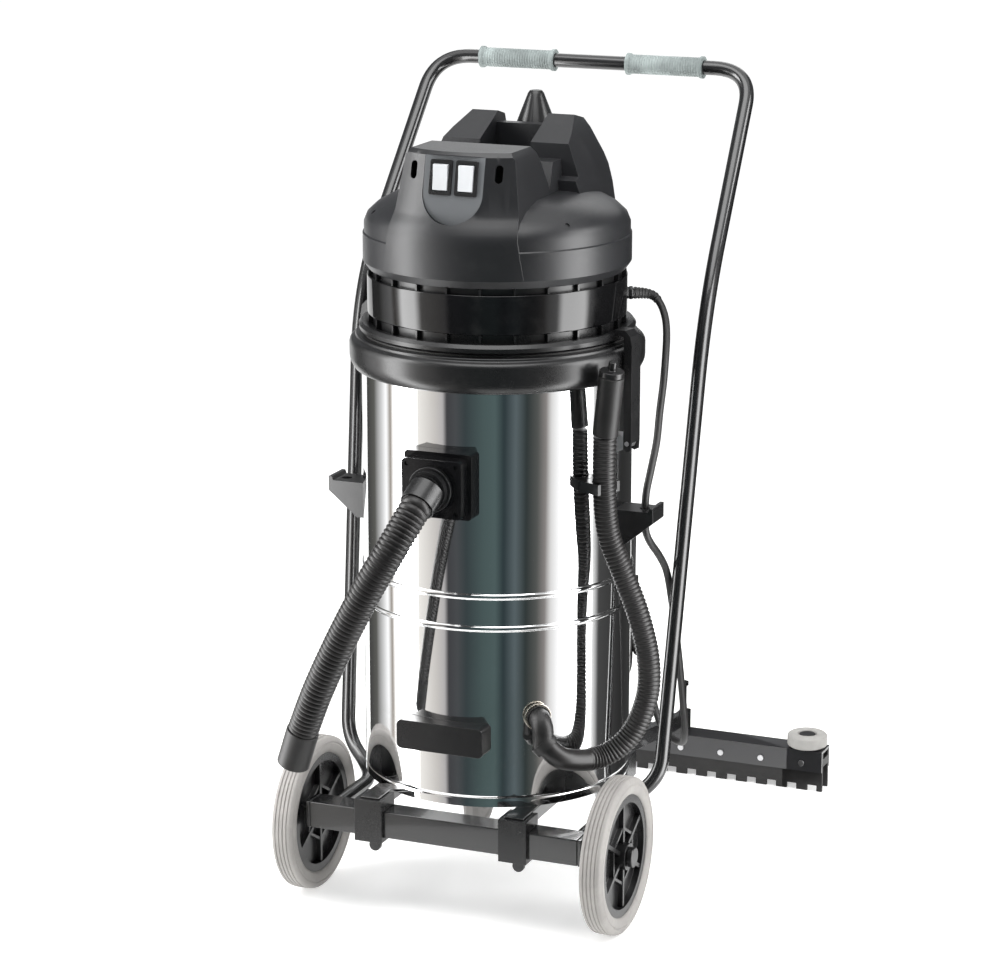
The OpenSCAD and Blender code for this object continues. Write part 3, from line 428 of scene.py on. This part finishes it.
# the ridges are |sin| bumps, rounded at the crest and pinched in the valley
ridge = np.abs(np.sin(np.pi * alongHose / suctionHose["pitch"])) ** 0.7
hoseRadius = suctionHose["diameter"] / 2 - suctionHose["depth"] * (1 - ridge)
hosePiece = tubeAlong("suction_hose_ribbed", hosePath, hoseRadius, 44)
fit(hosePiece, "trolley", "hose_plastic", hosePlastic, "suction_hose")
connectorPiece = softened("hose_connector_soft", "hose_connector", 0.001, 3)
fit(connectorPiece, "trolley", "ring_plastic", ringPlastic, "hose_connector")
cuffPiece = softened("hose_cuff_soft", "hose_cuff", 0.0012, 3)
fit(cuffPiece, "trolley", "black_rubber", rubber, "hose_cuff")

# cells of the hank that the turns fill: steps inwards and steps back
mainsCable = {
    "diameter": 0.011, "step": 0.006,
    "turns": [(0, 2), (1, 2), (2, 2), (2, 1), (2, 0), (1, 0), (1, 1), (0, 1), (0, 0)]}
cableRoute = [
    [172.6, 107.9, 905], [202, 122, 898], [226, 104, 864], [238, 66, 800], [238, 48, 744],
    [241, 27, 702], [241, 3, 664], [240, -14, 630], [240, -15, 584], [243, -4, 560],
    [247, 28, 530], [248, 60, 496], [248, 86, 440], [248, 112, 370], [248, 136, 290],
    [244, 164, 214], [222, 206, 180], [180, 238, 190], [158, 243, 250], [148, 241, 296],
    [134, 240.2, 310]]
tailRoute = [[42, 240, 236], [44, 243, 224], [46, 246, 208], [46, 248, 190]]
hank = {
    "x": 72, "y": 238, "low": 293, "high": 502, "outer": 52.2, "step": 11.0,
    "lead": 52, "lastTurn": 1.22 * np.pi}


def hankTurn(cell, nextCell, first, last):
    # up the right side, over the top as (r cos a, r sin a), down the left side while moving
    # to the next cell by t t (3 - 2 t), and under the bottom as a second half circle
    inward, behind = cell
    nextInward, nextBehind = nextCell
    r, nextR = (hank["outer"] - hank["step"] * k for k in (inward, nextInward))
    y, nextY = (hank["y"] + hank["step"] * (k - 1) for k in (behind, nextBehind))
    rise = np.linspace(hank["low"] + (hank["lead"] if first else 0), hank["high"], 5)[:-1, None]
    up = np.concatenate([rise * 0 + hank["x"] + r, rise * 0 + y, rise], 1)
    a = np.linspace(0, np.pi, 9)[:, None]
    over = np.concatenate([hank["x"] + r * np.cos(a), a * 0 + y, hank["high"] + r * np.sin(a)], 1)
    t = np.linspace(0, 1, 6)[1:-1, None]
    ease = t * t * (3 - 2 * t)
    fall = hank["high"] + (hank["low"] - hank["high"]) * t
    down = np.concatenate([hank["x"] - r - (nextR - r) * ease, y + (nextY - y) * ease, fall], 1)
    a = np.linspace(np.pi, hank["lastTurn"] if last else 2 * np.pi, 4 if last else 9)[:, None]
    under = np.concatenate([hank["x"] + nextR * np.cos(a), a * 0 + nextY, hank["low"] + nextR * np.sin(a)], 1)
    return np.concatenate([up, over, down, under if last else under[:-1]])


cells = mainsCable["turns"]
lastCell = len(cells) - 1
turns = [hankTurn(cells[k], cells[min(k + 1, lastCell)], k == 0, k == lastCell) for k in range(len(cells))]
cablePoints = np.concatenate([smoothPath(cableRoute, 3)] + turns + [np.array(tailRoute)])
cablePath = evenly(smoothPath(inFrame(cablePoints), 8), mainsCable["step"])
cablePiece = tubeAlong("mains_cable_whole", cablePath, mainsCable["diameter"] / 2, 14)
fit(cablePiece, "trolley", "black_rubber", rubber, "mains_cable", "cable_hank")

# radius and height in millimetres down the plug's body and down one pin
plug = {"drop": 0.048, "round": 0.0015, "pinApart": 0.0095, "pinRound": 0.001}
plugCorners = [
    [0.0001, 0], [16.5, 0], [18, 4], [18, 14], [16.6, 18], [16.6, 24], [18, 28], [18, 34],
    [13, 40], [9.5, 47], [7.6, 50], [5.4, 50], [5.4, 46], [0.0001, 46]]
pinCorners = [[0.00001, -19], [2.4, -19], [2.4, 2], [0.00001, 2]]
plugFoot = inFrame(tailRoute[-1]) - np.array([0, 0, plug["drop"]])
plugProfile = roundedProfile(np.array(plugCorners) / 1000, plug["round"])
plugPiece = turnedPiece("mains_plug_moulded", plugProfile, plugFoot, segments=64)
fit(plugPiece, "trolley", "black_rubber", rubber, "mains_plug")
for side in (-1, 1):
    pin = roundedProfile(np.array(pinCorners) / 1000, plug["pinRound"])
    pinPlace = plugFoot + np.array([side * plug["pinApart"], 0, 0])
    pinPiece = turnedPiece("plug_pin_%d" % (side + 2), pin, pinPlace, segments=24)
    fit(pinPiece, "trolley", "zinc_steel", zinc)

relief = {"length": 0.042, "radius": 0.0092, "taper": 0.0028, "pitch": 0.005, "deep": 0.0007}
reliefPath = evenly(smoothPath(inFrame(cableRoute[:4]), 30), 0.0006)
reliefPath = reliefPath[distanceAlong(reliefPath) < relief["length"]]
alongRelief = distanceAlong(reliefPath)
# a straight taper with a groove in every pitch
inGroove = np.sin(2 * np.pi * alongRelief / relief["pitch"]) > 0.2
reliefRadius = relief["radius"] - relief["taper"] * alongRelief / relief["length"] - relief["deep"] * inGroove
reliefPiece = tubeAlong("cable_relief", reliefPath, reliefRadius, 32)
fit(reliefPiece, "trolley", "black_rubber", rubber)

# a strap round one side of the hank: a rounded rectangle carried along z
strap = {"z": 0.405, "width": 0.022, "room": 0.0185, "thick": 0.0016, "aside": 41, "round": 0.006}
strapCentre = inFrame([hank["x"] + strap["aside"], hank["y"], 0])
strapSquare = np.array([[-1, -1], [1, -1], [1, 1], [-1, 1]]) * strap["room"]
strapOutline = roundedProfile(strapSquare, strap["round"], 7)
strapGrow = strapOutline * (1 + strap["thick"] / strap["room"])
strapRings = [strapOutline, strapOutline, strapGrow, strapGrow]
strapHeights = np.array([0, 1, 1, 0]) * strap["width"] + strap["z"]
strapPoints = np.stack([
    np.concatenate([ring + strapCentre[:2], np.full((len(ring), 1), z)], 1)
    for ring, z in zip(strapRings, strapHeights)])
strapPiece = buildMesh("hank_strap", strapPoints, gridQuads(4, len(strapOutline), True, True))
fit(strapPiece, "trolley", "black_rubber", rubber)
print("cords laid")

axis = tuple(tankShift)
tankLow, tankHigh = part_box("tank_shell")
tankBase, tankTop = tankLow.z, tankHigh.z
tank = {
    "radius": 0.2, "wall": 0.0015, "beads": (0.504, 0.456), "beadSize": 0.0045,
    "groove": 0.013, "grooveDeep": 0.0016, "grooveWide": 0.0018, "floor": 0.009}


def beadBump(z, at, size):
    # half circle standing out of the wall
    return np.sqrt(np.maximum(size ** 2 - (z - at) ** 2, 0))


# heights are close together at the two beads and at the foot's groove
wallZ = np.unique(np.concatenate([
    np.linspace(tankBase + 0.001, tankTop, 40),
    *[np.linspace(b - 0.006, b + 0.006, 25) for b in tank["beads"]],
    np.linspace(tankBase + 0.009, tankBase + 0.018, 12)]))
bumps = [beadBump(wallZ, b, tank["beadSize"]) for b in tank["beads"]] + [wallZ * 0 + tank["wall"]]
footGroove = np.exp(-((wallZ - tankBase - tank["groove"]) / tank["grooveWide"]) ** 2)
outer = tank["radius"] - tank["wall"] + np.maximum.reduce(bumps) - tank["grooveDeep"] * footGroove
innerZ = wallZ[::-1]
innerWall = np.interp(innerZ, wallZ, outer) - tank["wall"]
outside = np.stack([outer, wallZ], 1)
inside = np.stack([innerWall, innerZ], 1)[innerZ > tankBase + 0.014]
plateLow = tankBase + tank["floor"]
plateHigh, wallInside = plateLow + tank["wall"], tank["radius"] - tank["wall"]
floorLine = np.array([
    [tank["radius"] - 0.006, plateHigh], [0.0001, plateHigh], [0.0001, plateLow],
    [wallInside, plateLow], [wallInside, tankBase], [tank["radius"], tankBase]])
tankProfile = np.concatenate([outside, inside, floorLine])
tankPiece = turnedPiece("tank_wall", tankProfile, axis, segments=256, sharp=50)
fit(tankPiece, "trolley", "polished_steel", steel, "tank_shell")

# radius, height and corner rounding in millimetres round the bumper ring
ring = {"overWall": 200.3, "inside": 186, "lip": 7.7}
ringLow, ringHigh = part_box("tank_ring")
wide, low, top = (ringHigh.x - ringLow.x) * 500, ringLow.z * 1000, ringHigh.z * 1000
ringCorners = np.array([
    [ring["overWall"], low, 1.5], [wide - 8, low, 5], [wide, low + 14, 7], [wide, top - 12, 4],
    [wide - 3, top - 7, 2], [wide - 9, top - 4, 1.5], [wide - 10, top, 1.5], [ring["inside"], top, 1],
    [ring["inside"], top - ring["lip"], 1], [ring["overWall"], top - ring["lip"], 1]]) / 1000
ringProfile = roundedProfile(ringCorners[:, :2], ringCorners[:, 2])
ringPiece = turnedPiece("tank_ring_moulded", ringProfile, axis, segments=224)
fit(ringPiece, "trolley", "ring_plastic", ringPlastic, "tank_ring")

band = {"inside": 0.1834, "outside": 0.191, "low": 0.886, "high": 0.943, "round": 0.002}
bandCorners = [
    [band["inside"], band["low"]], [band["outside"], band["low"]],
    [band["outside"], band["high"]], [band["inside"], band["high"]]]
bandProfile = roundedProfile(bandCorners, band["round"])
bandPiece = turnedPiece("motor_band_glossy", bandProfile, axis, segments=224)
fit(bandPiece, "head", "gloss_black_plastic", glossPlastic, "motor_band")

# a hexagon nut: distance from the tank's axis and radius of each ring of corners
gland = {"turn": math.radians(32), "height": 0.905}
glandRings = np.array([
    [0.188, 0.0098], [0.1885, 0.0098], [0.1912, 0.0098], [0.1925, 0.0086], [0.1965, 0.0086],
    [0.1985, 0.0098], [0.2015, 0.0098], [0.2028, 0.0092], [0.203, 0.0088]])
glandRay = np.array([math.cos(gland["turn"]), math.sin(gland["turn"]), 0])
glandPath = tankShift + np.array([0, 0, gland["height"]]) + glandRay * glandRings[:, :1]
glandPiece = tubeAlong("cable_gland", glandPath, glandRings[:, 1], 6)
fit(glandPiece, "head", "ring_plastic", ringPlastic)

# a ball with a moulded seam round its middle: r cos a and r sin a, r grows by exp(-(a / wide) squared)
ball = {"seamHigh": 0.0007, "seamWide": 0.03}
floatLow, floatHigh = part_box("float_ball")
upward = np.linspace(-np.pi / 2, np.pi / 2, 65)
seam = ball["seamHigh"] * np.exp(-(upward / ball["seamWide"]) ** 2)
ballR = (floatHigh.x - floatLow.x) / 2 - ball["seamHigh"] + seam
ballProfile = np.stack([np.maximum(ballR * np.cos(upward), 1e-6), ballR * np.sin(upward)], 1)
ballMiddle = (floatLow + floatHigh) / 2
ballPiece = turnedPiece("float_ball_moulded", ballProfile, ballMiddle, segments=80, closed=False)
fit(ballPiece, "float", "cage_plastic", palePlastic, "float_ball")

# pleated cloth: a cone with a cosine of the folds added to its radius
sleeve = {"folds": 60, "deep": 0.0016, "low": 0.1385, "high": 0.1575, "rows": 40, "around": 960}
sleeveLow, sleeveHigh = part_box("filter_sleeve")
turnAngle = np.linspace(0, 2 * np.pi, sleeve["around"], endpoint=False)
rise = np.linspace(0, 1, sleeve["rows"])[:, None]
fold = sleeve["deep"] * np.cos(sleeve["folds"] * turnAngle)[None]
sleeveR = sleeve["low"] + (sleeve["high"] - sleeve["low"]) * rise + fold
sleeveZ = sleeveLow.z + (sleeveHigh.z - sleeveLow.z) * (rise + 0 * sleeveR)
sleevePoints = np.stack([sleeveR * np.cos(turnAngle), sleeveR * np.sin(turnAngle), sleeveZ], -1) + tankShift
sleevePiece = buildMesh("filter_sleeve_pleated", sleevePoints, gridQuads(sleeve["rows"], sleeve["around"]))
fit(sleevePiece, "head", "filter_cloth", cloth, "filter_sleeve")
print("tank and head made")

# corners of one side of the push handle in millimetres, and how far each bend reaches
handle = {
    "radius": 0.011, "bends": [0, 40, 34, 110, 62], "step": 0.006,
    "corners": [[196, -175.7, 143], [196, -24, 143], [258, 14, 188], [280, 122, 884], [262, 381, 1207]]}
handleCorners = inFrame(handle["corners"] + [[-x, y, z] for x, y, z in handle["corners"][::-1]])
handleBends = np.array(handle["bends"] + handle["bends"][::-1]) / 1000
handlePath = evenly(roundedProfile(handleCorners, handleBends, 25, False), handle["step"])
handlePiece = tubeAlong("handle_tube_bent", handlePath, handle["radius"], 40)
fit(handlePiece, "trolley", "black_paint", enamel, "handle_tube")

# a straight sleeve with fine rings, a sine along it, and a rim at each end, a soft step of rimSoft
grip = {
    "bore": 0.0112, "radius": 0.0147, "inner": 0.06, "plain": 0.009, "ringHigh": 0.00035,
    "ringPitch": 0.0042, "rimHigh": 0.0023, "rimWide": 0.0058, "rimSoft": 0.0004}
gripLow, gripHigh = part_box("handle_grips")
gripY, gripZ = (gripLow.y + gripHigh.y) / 2, handleCorners[4][2]
alongGrip = np.linspace(0, gripHigh.x - grip["inner"], 260)
fromEnd = alongGrip[-1] - alongGrip
ringed = (alongGrip > grip["plain"]) * (alongGrip < alongGrip[-1] - grip["plain"])
rims = sum(1 / (1 + np.exp((d - grip["rimWide"]) / grip["rimSoft"])) for d in (alongGrip, fromEnd))
gripR = grip["radius"] + grip["ringHigh"] * np.sin(2 * np.pi * alongGrip / grip["ringPitch"]) * ringed
gripSide = np.stack([gripR + grip["rimHigh"] * rims, alongGrip], 1)
gripProfile = np.concatenate([[[grip["bore"], 0]], gripSide, [[grip["bore"], alongGrip[-1]]]])
for hand, start, nodes in (("left", -gripHigh.x, ()), ("right", grip["inner"], ("handle_grips",))):
    gripPiece = turnedPiece("handle_grip_" + hand, gripProfile, (start, gripY, gripZ), "x", 48)
    fit(gripPiece, "trolley", "grip_grey", gripGrey, *nodes)

tyre = {"bore": 91.05, "grooves": (-9.0, -3.0, 3.0, 9.0), "grooveWide": 1.6, "grooveDeep": 1.5, "crown": 3.2}
caster = {"bore": 0.0051, "hub": 0.012, "web": 0.024, "rim": 0.027, "sunk": 0.0022, "round": 0.0016}
roller = {"bore": 0.0051, "dishLow": 0.014, "dishHigh": 0.0165, "dish": 0.006, "round": 0.0018}


def tyreProfile(bore, radius, width, steps=120):
    # a crowned tread, radius - crown |x / w| to the fifth, less exp(-(x / half a groove) to the
    # fourth) at each groove, with soft shoulders and a raised line on each side wall
    w = width / 2
    across = np.linspace(-w + 3, w - 3, steps)
    crown = radius - tyre["crown"] * np.abs(across / w) ** 5
    for g in tyre["grooves"]:
        crown = crown - tyre["grooveDeep"] * np.exp(-((across - g) / (0.5 * tyre["grooveWide"])) ** 4)
    tread = np.stack([crown, across], 1)
    wall = np.array([
        [radius - 5, w - 0.6], [radius - 8, w], [radius - 9.5, w], [radius - 10.2, w - 0.7],
        [radius - 11.5, w - 0.7], [radius - 12.2, w - 0.1], [bore + 6, w - 0.1],
        [bore + 1.4, w - 2.2], [bore, w - 4]])
    mirroredWall = (wall * [1, -1])[::-1]
    return np.concatenate([tread, wall, mirroredWall]) / 1000


for hand in ("left", "right"):
    low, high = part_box("tyre_" + hand)
    middle = (low + high) / 2
    profile = tyreProfile(tyre["bore"], (high.z - low.z) * 500, (high.x - low.x) * 1000)
    tyrePiece = turnedPiece("tyre_tread_" + hand, profile, middle, "x", 200)
    fit(tyrePiece, "wheel_" + hand, "tyre_grey", tyreGrey, "tyre_" + hand)
    low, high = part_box("caster_wheel_" + hand)
    middle, r, w = (low + high) / 2, (high.z - low.z) / 2, (high.x - low.x) / 2
    half = np.array([
        [caster["bore"], w], [caster["hub"], w], [caster["hub"] + 0.001, w - 0.002],
        [caster["web"], w - caster["sunk"]], [caster["rim"], w], [r - 0.005, w], [r, w - 0.007]])
    casterProfile = roundedProfile(np.concatenate([half * [1, -1], half[::-1]]), caster["round"])
    casterPiece = turnedPiece("caster_tread_" + hand, casterProfile, middle, "x", 96)
    fit(casterPiece, "caster_roll_" + hand, "caster_grey", casterGrey, "caster_wheel_" + hand)
    low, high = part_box("bumper_rollers_" + hand)
    middle, r, h = (low + high) / 2, (high.x - low.x) / 2, high.z - low.z
    rollerCorners = [
        [roller["bore"], 0], [r - 0.004, 0], [r, 0.003], [r, h - 0.003], [r - 0.004, h],
        [roller["dishHigh"], h], [roller["dishLow"], h - roller["dish"]], [roller["bore"], h - roller["dish"]]]
    rollerProfile = roundedProfile(rollerCorners, roller["round"])
    rollerPiece = turnedPiece("roller_tread_" + hand, rollerProfile, (middle.x, middle.y, low.z), "z", 96)
    fit(rollerPiece, "roller_" + hand, "roller_grey", rollerGrey, "bumper_rollers_" + hand)
print("turned pieces made")

# pieces that keep the CAD shape with their edges rounded:
# bevel width, bevel steps, finish, slot and body
softPieces = {
    "cowl": (0.0028, 4, cowlPlastic, "cowl_plastic", "head"),
    "head_pan": (0.0008, 2, ringPlastic, "ring_plastic", "head"),
    "switch_panel": (0.0009, 3, panelGrey, "panel_grey", "head"),
    "cable_post": (0.002, 3, ringPlastic, "black_rubber", "head"),
    "rocker_left": (0.0008, 3, rockerWhite, "rocker_white", "rocker_left"),
    "rocker_right": (0.0008, 3, rockerWhite, "rocker_white", "rocker_right"),
    "inlet_box": (0.0018, 3, glossPlastic, "gloss_black_plastic", "trolley"),
    "inlet_port": (0.001, 3, ringPlastic, "ring_plastic", "trolley"),
    "front_grip": (0.002, 3, ringPlastic, "ring_plastic", "trolley"),
    "side_hooks": (0.0015, 3, ringPlastic, "ring_plastic", "trolley"),
    "drain_outlet": (0.0008, 2, drainMetal, "drain_metal", "trolley"),
    "drain_elbow": (0.0008, 2, rubber, "black_rubber", "trolley"),
    "drain_clip": (0.001, 2, ringPlastic, "ring_plastic", "trolley"),
    "drain_cuff": (0.0012, 3, rubber, "black_rubber", "trolley"),
    "drain_plug": (0.0012, 3, ringPlastic, "ring_plastic", "drain_plug"),
    "cross_beam": (0.0025, 3, enamel, "black_paint", "trolley"),
    "beam_caps": (0.0012, 2, ringPlastic, "ring_plastic", "trolley"),
    "axle_left": (0.0012, 2, enamel, "black_paint", "trolley"),
    "axle_right": (0.0012, 2, enamel, "black_paint", "trolley"),
    "rear_beam": (0.0015, 2, enamel, "black_paint", "trolley"),
    "cradle_rails": (0.0015, 3, enamel, "black_paint", "trolley"),
    "clamp_blocks": (0.0018, 3, ringPlastic, "ring_plastic", "trolley"),
    "wing_bolts": (0.0008, 2, ringPlastic, "ring_plastic", "trolley"),
    "hub_left": (0.001, 2, ringPlastic, "ring_plastic", "wheel_left"),
    "hub_right": (0.001, 2, ringPlastic, "ring_plastic", "wheel_right"),
    "hub_caps": (0.0015, 3, ringPlastic, "ring_plastic", "trolley"),
    "caster_fork_left": (0.0008, 2, zinc, "zinc_steel", "caster_left"),
    "caster_fork_right": (0.0008, 2, zinc, "zinc_steel", "caster_right"),
    "latch_left": (0.0012, 3, ringPlastic, "ring_plastic", "latch_left"),
    "latch_right": (0.0012, 3, ringPlastic, "ring_plastic", "latch_right"),
    "latch_brackets": (0.0008, 2, zinc, "zinc_steel", "trolley"),
    "hank_peg": (0.0015, 3, ringPlastic, "ring_plastic", "trolley"),
    "squeegee_arms": (0.001, 2, enamel, "black_paint", "squeegee"),
    "squeegee_bar": (0.0008, 2, barGrey, "bar_grey", "squeegee"),
    "squeegee_blades": (0.0006, 2, rubber, "black_rubber", "squeegee"),
    "squeegee_fixings": (0.0006, 3, zinc, "zinc_steel", "squeegee"),
    "motors": (0.001, 2, castMetal, "motor_metal", "head"),
    "motor_seals": (0.0005, 2, rubber, "black_rubber", "head"),
    "float_cage": (0.0006, 2, palePlastic, "cage_plastic", "head"),
    "tank_gasket": (0.0004, 2, rubber, "black_rubber", "trolley"),
}
madePieces = {}
for node, (width, steps, material, slotName, body) in softPieces.items():
    madePieces[node] = fit(softened(node + "_soft", node, width, steps), body, slotName, material, node)


def painted(piece, material, chosen):
    # the faces whose middle meets the test take a second finish
    mesh = piece.data
    middles = np.empty(len(mesh.polygons) * 3)
    mesh.polygons.foreach_get("center", middles)
    mesh.materials.append(material)
    mesh.polygons.foreach_set("material_index", chosen(middles.reshape(-1, 3)).astype(np.int32))
    mesh.update()


# the frames stand proud of the leaning switch panel, the roller bolts stand above the squeegee's screws
secondFinish = {"panelLean": math.radians(12), "frameDeep": 0.0027, "boltsAbove": 0.064}
towardsFront = np.array([0, -math.cos(secondFinish["panelLean"]), math.sin(secondFinish["panelLean"])])
painted(
    madePieces["switch_panel"], ringPlastic,
    lambda m: m @ towardsFront > (m @ towardsFront).max() - secondFinish["frameDeep"])
painted(madePieces["squeegee_fixings"], ringPlastic, lambda m: m[:, 2] > secondFinish["boltsAbove"])
print("soft copies made")

drainHose = {"diameter": 0.034, "pitch": 0.0062, "depth": 0.0019, "plainUntil": 0.085, "plainLess": 0.0008}
drainRoute = inFrame([
    [146, -178, 290], [172, -166, 266], [208, -112, 256], [246, -90, 286], [270, -84, 345],
    [272, -84, 405], [256, -84, 470], [232, -84, 530], [212, -92, 590], [207, -98, 660],
    [208, -100, 735]])
drainPath = evenly(smoothPath(drainRoute, 30), drainHose["pitch"] / 9)
alongDrain = distanceAlong(drainPath)
# the same |sin| ridges, faded in past the plain end by a soft step
ribbed = 1 / (1 + np.exp(-(alongDrain - drainHose["plainUntil"]) / 0.002))
wave = np.abs(np.sin(np.pi * alongDrain / drainHose["pitch"])) ** 0.7
drainRadius = drainHose["diameter"] / 2 - drainHose["depth"] * (1 - wave) * ribbed
drainRadius = drainRadius - drainHose["plainLess"] * (1 - ribbed)
drainPiece = tubeAlong("drain_hose_ribbed", drainPath, drainRadius, 36)
fit(drainPiece, "trolley", "hose_plastic", hosePlastic, "drain_hose")
print("drain hose made")

studio = {
    "floor": (0.86, 0.86, 0.85), "glow": 0.46, "sky": 0.2, "sun": 1.5, "aim": 0.75,
    "room": 9.0, "roomRadius": 0.62, "roomHigh": 1.2}
floorMesh = bpy.data.meshes.new("floor")
floorMesh.from_pydata([(-60, -60, 0), (60, -60, 0), (60, 90, 0), (-60, 90, 0)], [], [(0, 1, 2, 3)])
floor = bpy.data.objects.new("floor", floorMesh)
bpy.context.scene.collection.objects.link(floor)
f = Finish("floor_paint", Specular_IOR_Level=0.0, Emission_Color=(1, 1, 1, 1), Emission_Strength=studio["glow"])
f.feed("Base Color", f.mix(f.noise(1.5, 3.0), shade(studio["floor"], 0.98), shade(studio["floor"], 1.02)))
f.feed("Roughness", f.noise(3.0) * 0.1 + 0.6)
floor.data.materials.append(f.material)

world = bpy.data.worlds.new("studio")
world.use_nodes = True
sky = world.node_tree.nodes["Background"]
sky.inputs["Color"].default_value, sky.inputs["Strength"].default_value = (0.95, 0.97, 1.0, 1), studio["sky"]
bpy.context.scene.world = world


def softBox(name, bearing, distance, height, size, power):
    # a soft rectangle of light aimed at the tank; bearing is measured from -Y towards +X
    a = math.radians(bearing)
    light = bpy.data.lights.new(name, "AREA")
    light.shape, light.size, light.size_y, light.energy = "RECTANGLE", size[0], size[1], power
    lamp = bpy.data.objects.new(name, light)
    lamp.location = (math.sin(a) * distance, -math.cos(a) * distance + tankShift[1], height)
    lamp.rotation_mode = "QUATERNION"
    aim = Vector((0, tankShift[1], studio["aim"])) - lamp.location
    lamp.rotation_quaternion = aim.to_track_quat("-Z", "Y")
    lamp.visible_camera = False
    bpy.context.scene.collection.objects.link(lamp)


def roomAround(radius, high, tones):
    # a curved upright screen round the tank's axis that only shows in reflections: each tone is
    # a bearing in degrees from -Y towards +X and a colour, and they run smoothly into each other;
    # its points are (radius sin a, -radius cos a, z)
    start, end, steps = tones[0][0], tones[-1][0], 120
    a = np.radians(np.linspace(start, end, steps))
    edge = np.stack([np.sin(a) * radius, -np.cos(a) * radius + tankShift[1]], 1)
    points = np.stack([np.concatenate([edge, np.full((steps, 1), z)], 1) for z in (0, high)])
    mesh = bpy.data.meshes.new("room_around")
    quads = gridQuads(2, steps, False, False)
    mesh.from_pydata(points.reshape(-1, 3).tolist(), [], quads.tolist())
    layer = mesh.uv_layers.new(name="along")
    corners = quads.ravel()
    uv = np.stack([(corners % steps) / (steps - 1), corners // steps], 1)
    layer.data.foreach_set("uv", uv.astype(float).ravel())
    screen = bpy.data.objects.new("room_around", mesh)
    bpy.context.scene.collection.objects.link(screen)
    paint = Finish("room_paint", Specular_IOR_Level=0.0, Base_Color=(0, 0, 0, 1), Emission_Strength=studio["room"])
    places = [(bearing - start) / (end - start) for bearing, colour in tones]
    stops = [(at, shade(colour, 1 / studio["room"])) for at, (bearing, colour) in zip(places, tones)]
    wander = (paint.noise(2.0, 3.0) - 0.5) * 0.012
    ramp = paint.node("ValToRGB", {"stops": stops}, {0: paint.along() + wander})
    paint.feed("Emission Color", Wire(paint, ramp.outputs[0]))
    mesh.materials.append(paint.material)
    screen.visible_camera = screen.visible_diffuse = screen.visible_shadow = False


softBox("left_light", -66, 2.3, 1.5, (0.9, 2.2), 62)
softBox("right_light", 104, 2.3, 1.5, (0.9, 2.2), 46)
softBox("top_light", 10, 0.9, 3.3, (2.2, 2.2), 46)
softBox("back_light", 190, 2.6, 2.4, (2.0, 1.2), 14)
sun = bpy.data.lights.new("even_light", "SUN")
sun.energy, sun.angle = studio["sun"], math.radians(80)
evenLight = bpy.data.objects.new("even_light", sun)
bpy.context.scene.collection.objects.link(evenLight)
roomTones = [
    (-106, (0.05, 0.05, 0.05)), (-89, (0.12, 0.12, 0.11)), (-77, (0.75, 0.75, 0.75)),
    (-71, (1.2, 1.2, 1.2)), (-66, (0.3, 0.26, 0.22)), (-62, (1.5, 1.48, 1.45)), (-57, (9, 9, 9)),
    (-44, (9, 9, 9)), (-38, (1, 0.97, 0.92)), (-23, (0.66, 0.63, 0.6)), (-17, (0.52, 0.5, 0.5)),
    (-14, (0.06, 0.06, 0.065)), (-7, (0.075, 0.08, 0.085)), (0, (0.045, 0.06, 0.064)),
    (13, (0.075, 0.11, 0.11)), (21, (0.085, 0.125, 0.125)), (27, (0.03, 0.045, 0.05)),
    (35, (0.11, 0.14, 0.15)), (43, (0.035, 0.045, 0.045)), (51, (0.1, 0.105, 0.1)),
    (57, (0.28, 0.26, 0.25)), (61, (0.8, 0.79, 0.78)), (68, (1.2, 1.2, 1.2)), (73, (8, 8, 8)),
    (93, (8, 8, 8)), (98, (0.95, 0.95, 0.95)), (105, (0.07, 0.07, 0.07)), (138, (0.03, 0.03, 0.03)),
    (172, (0.05, 0.05, 0.05))]
roomAround(studio["roomRadius"], studio["roomHigh"], roomTones)
bpy.context.scene.view_settings.view_transform = "Standard"
print("studio made")
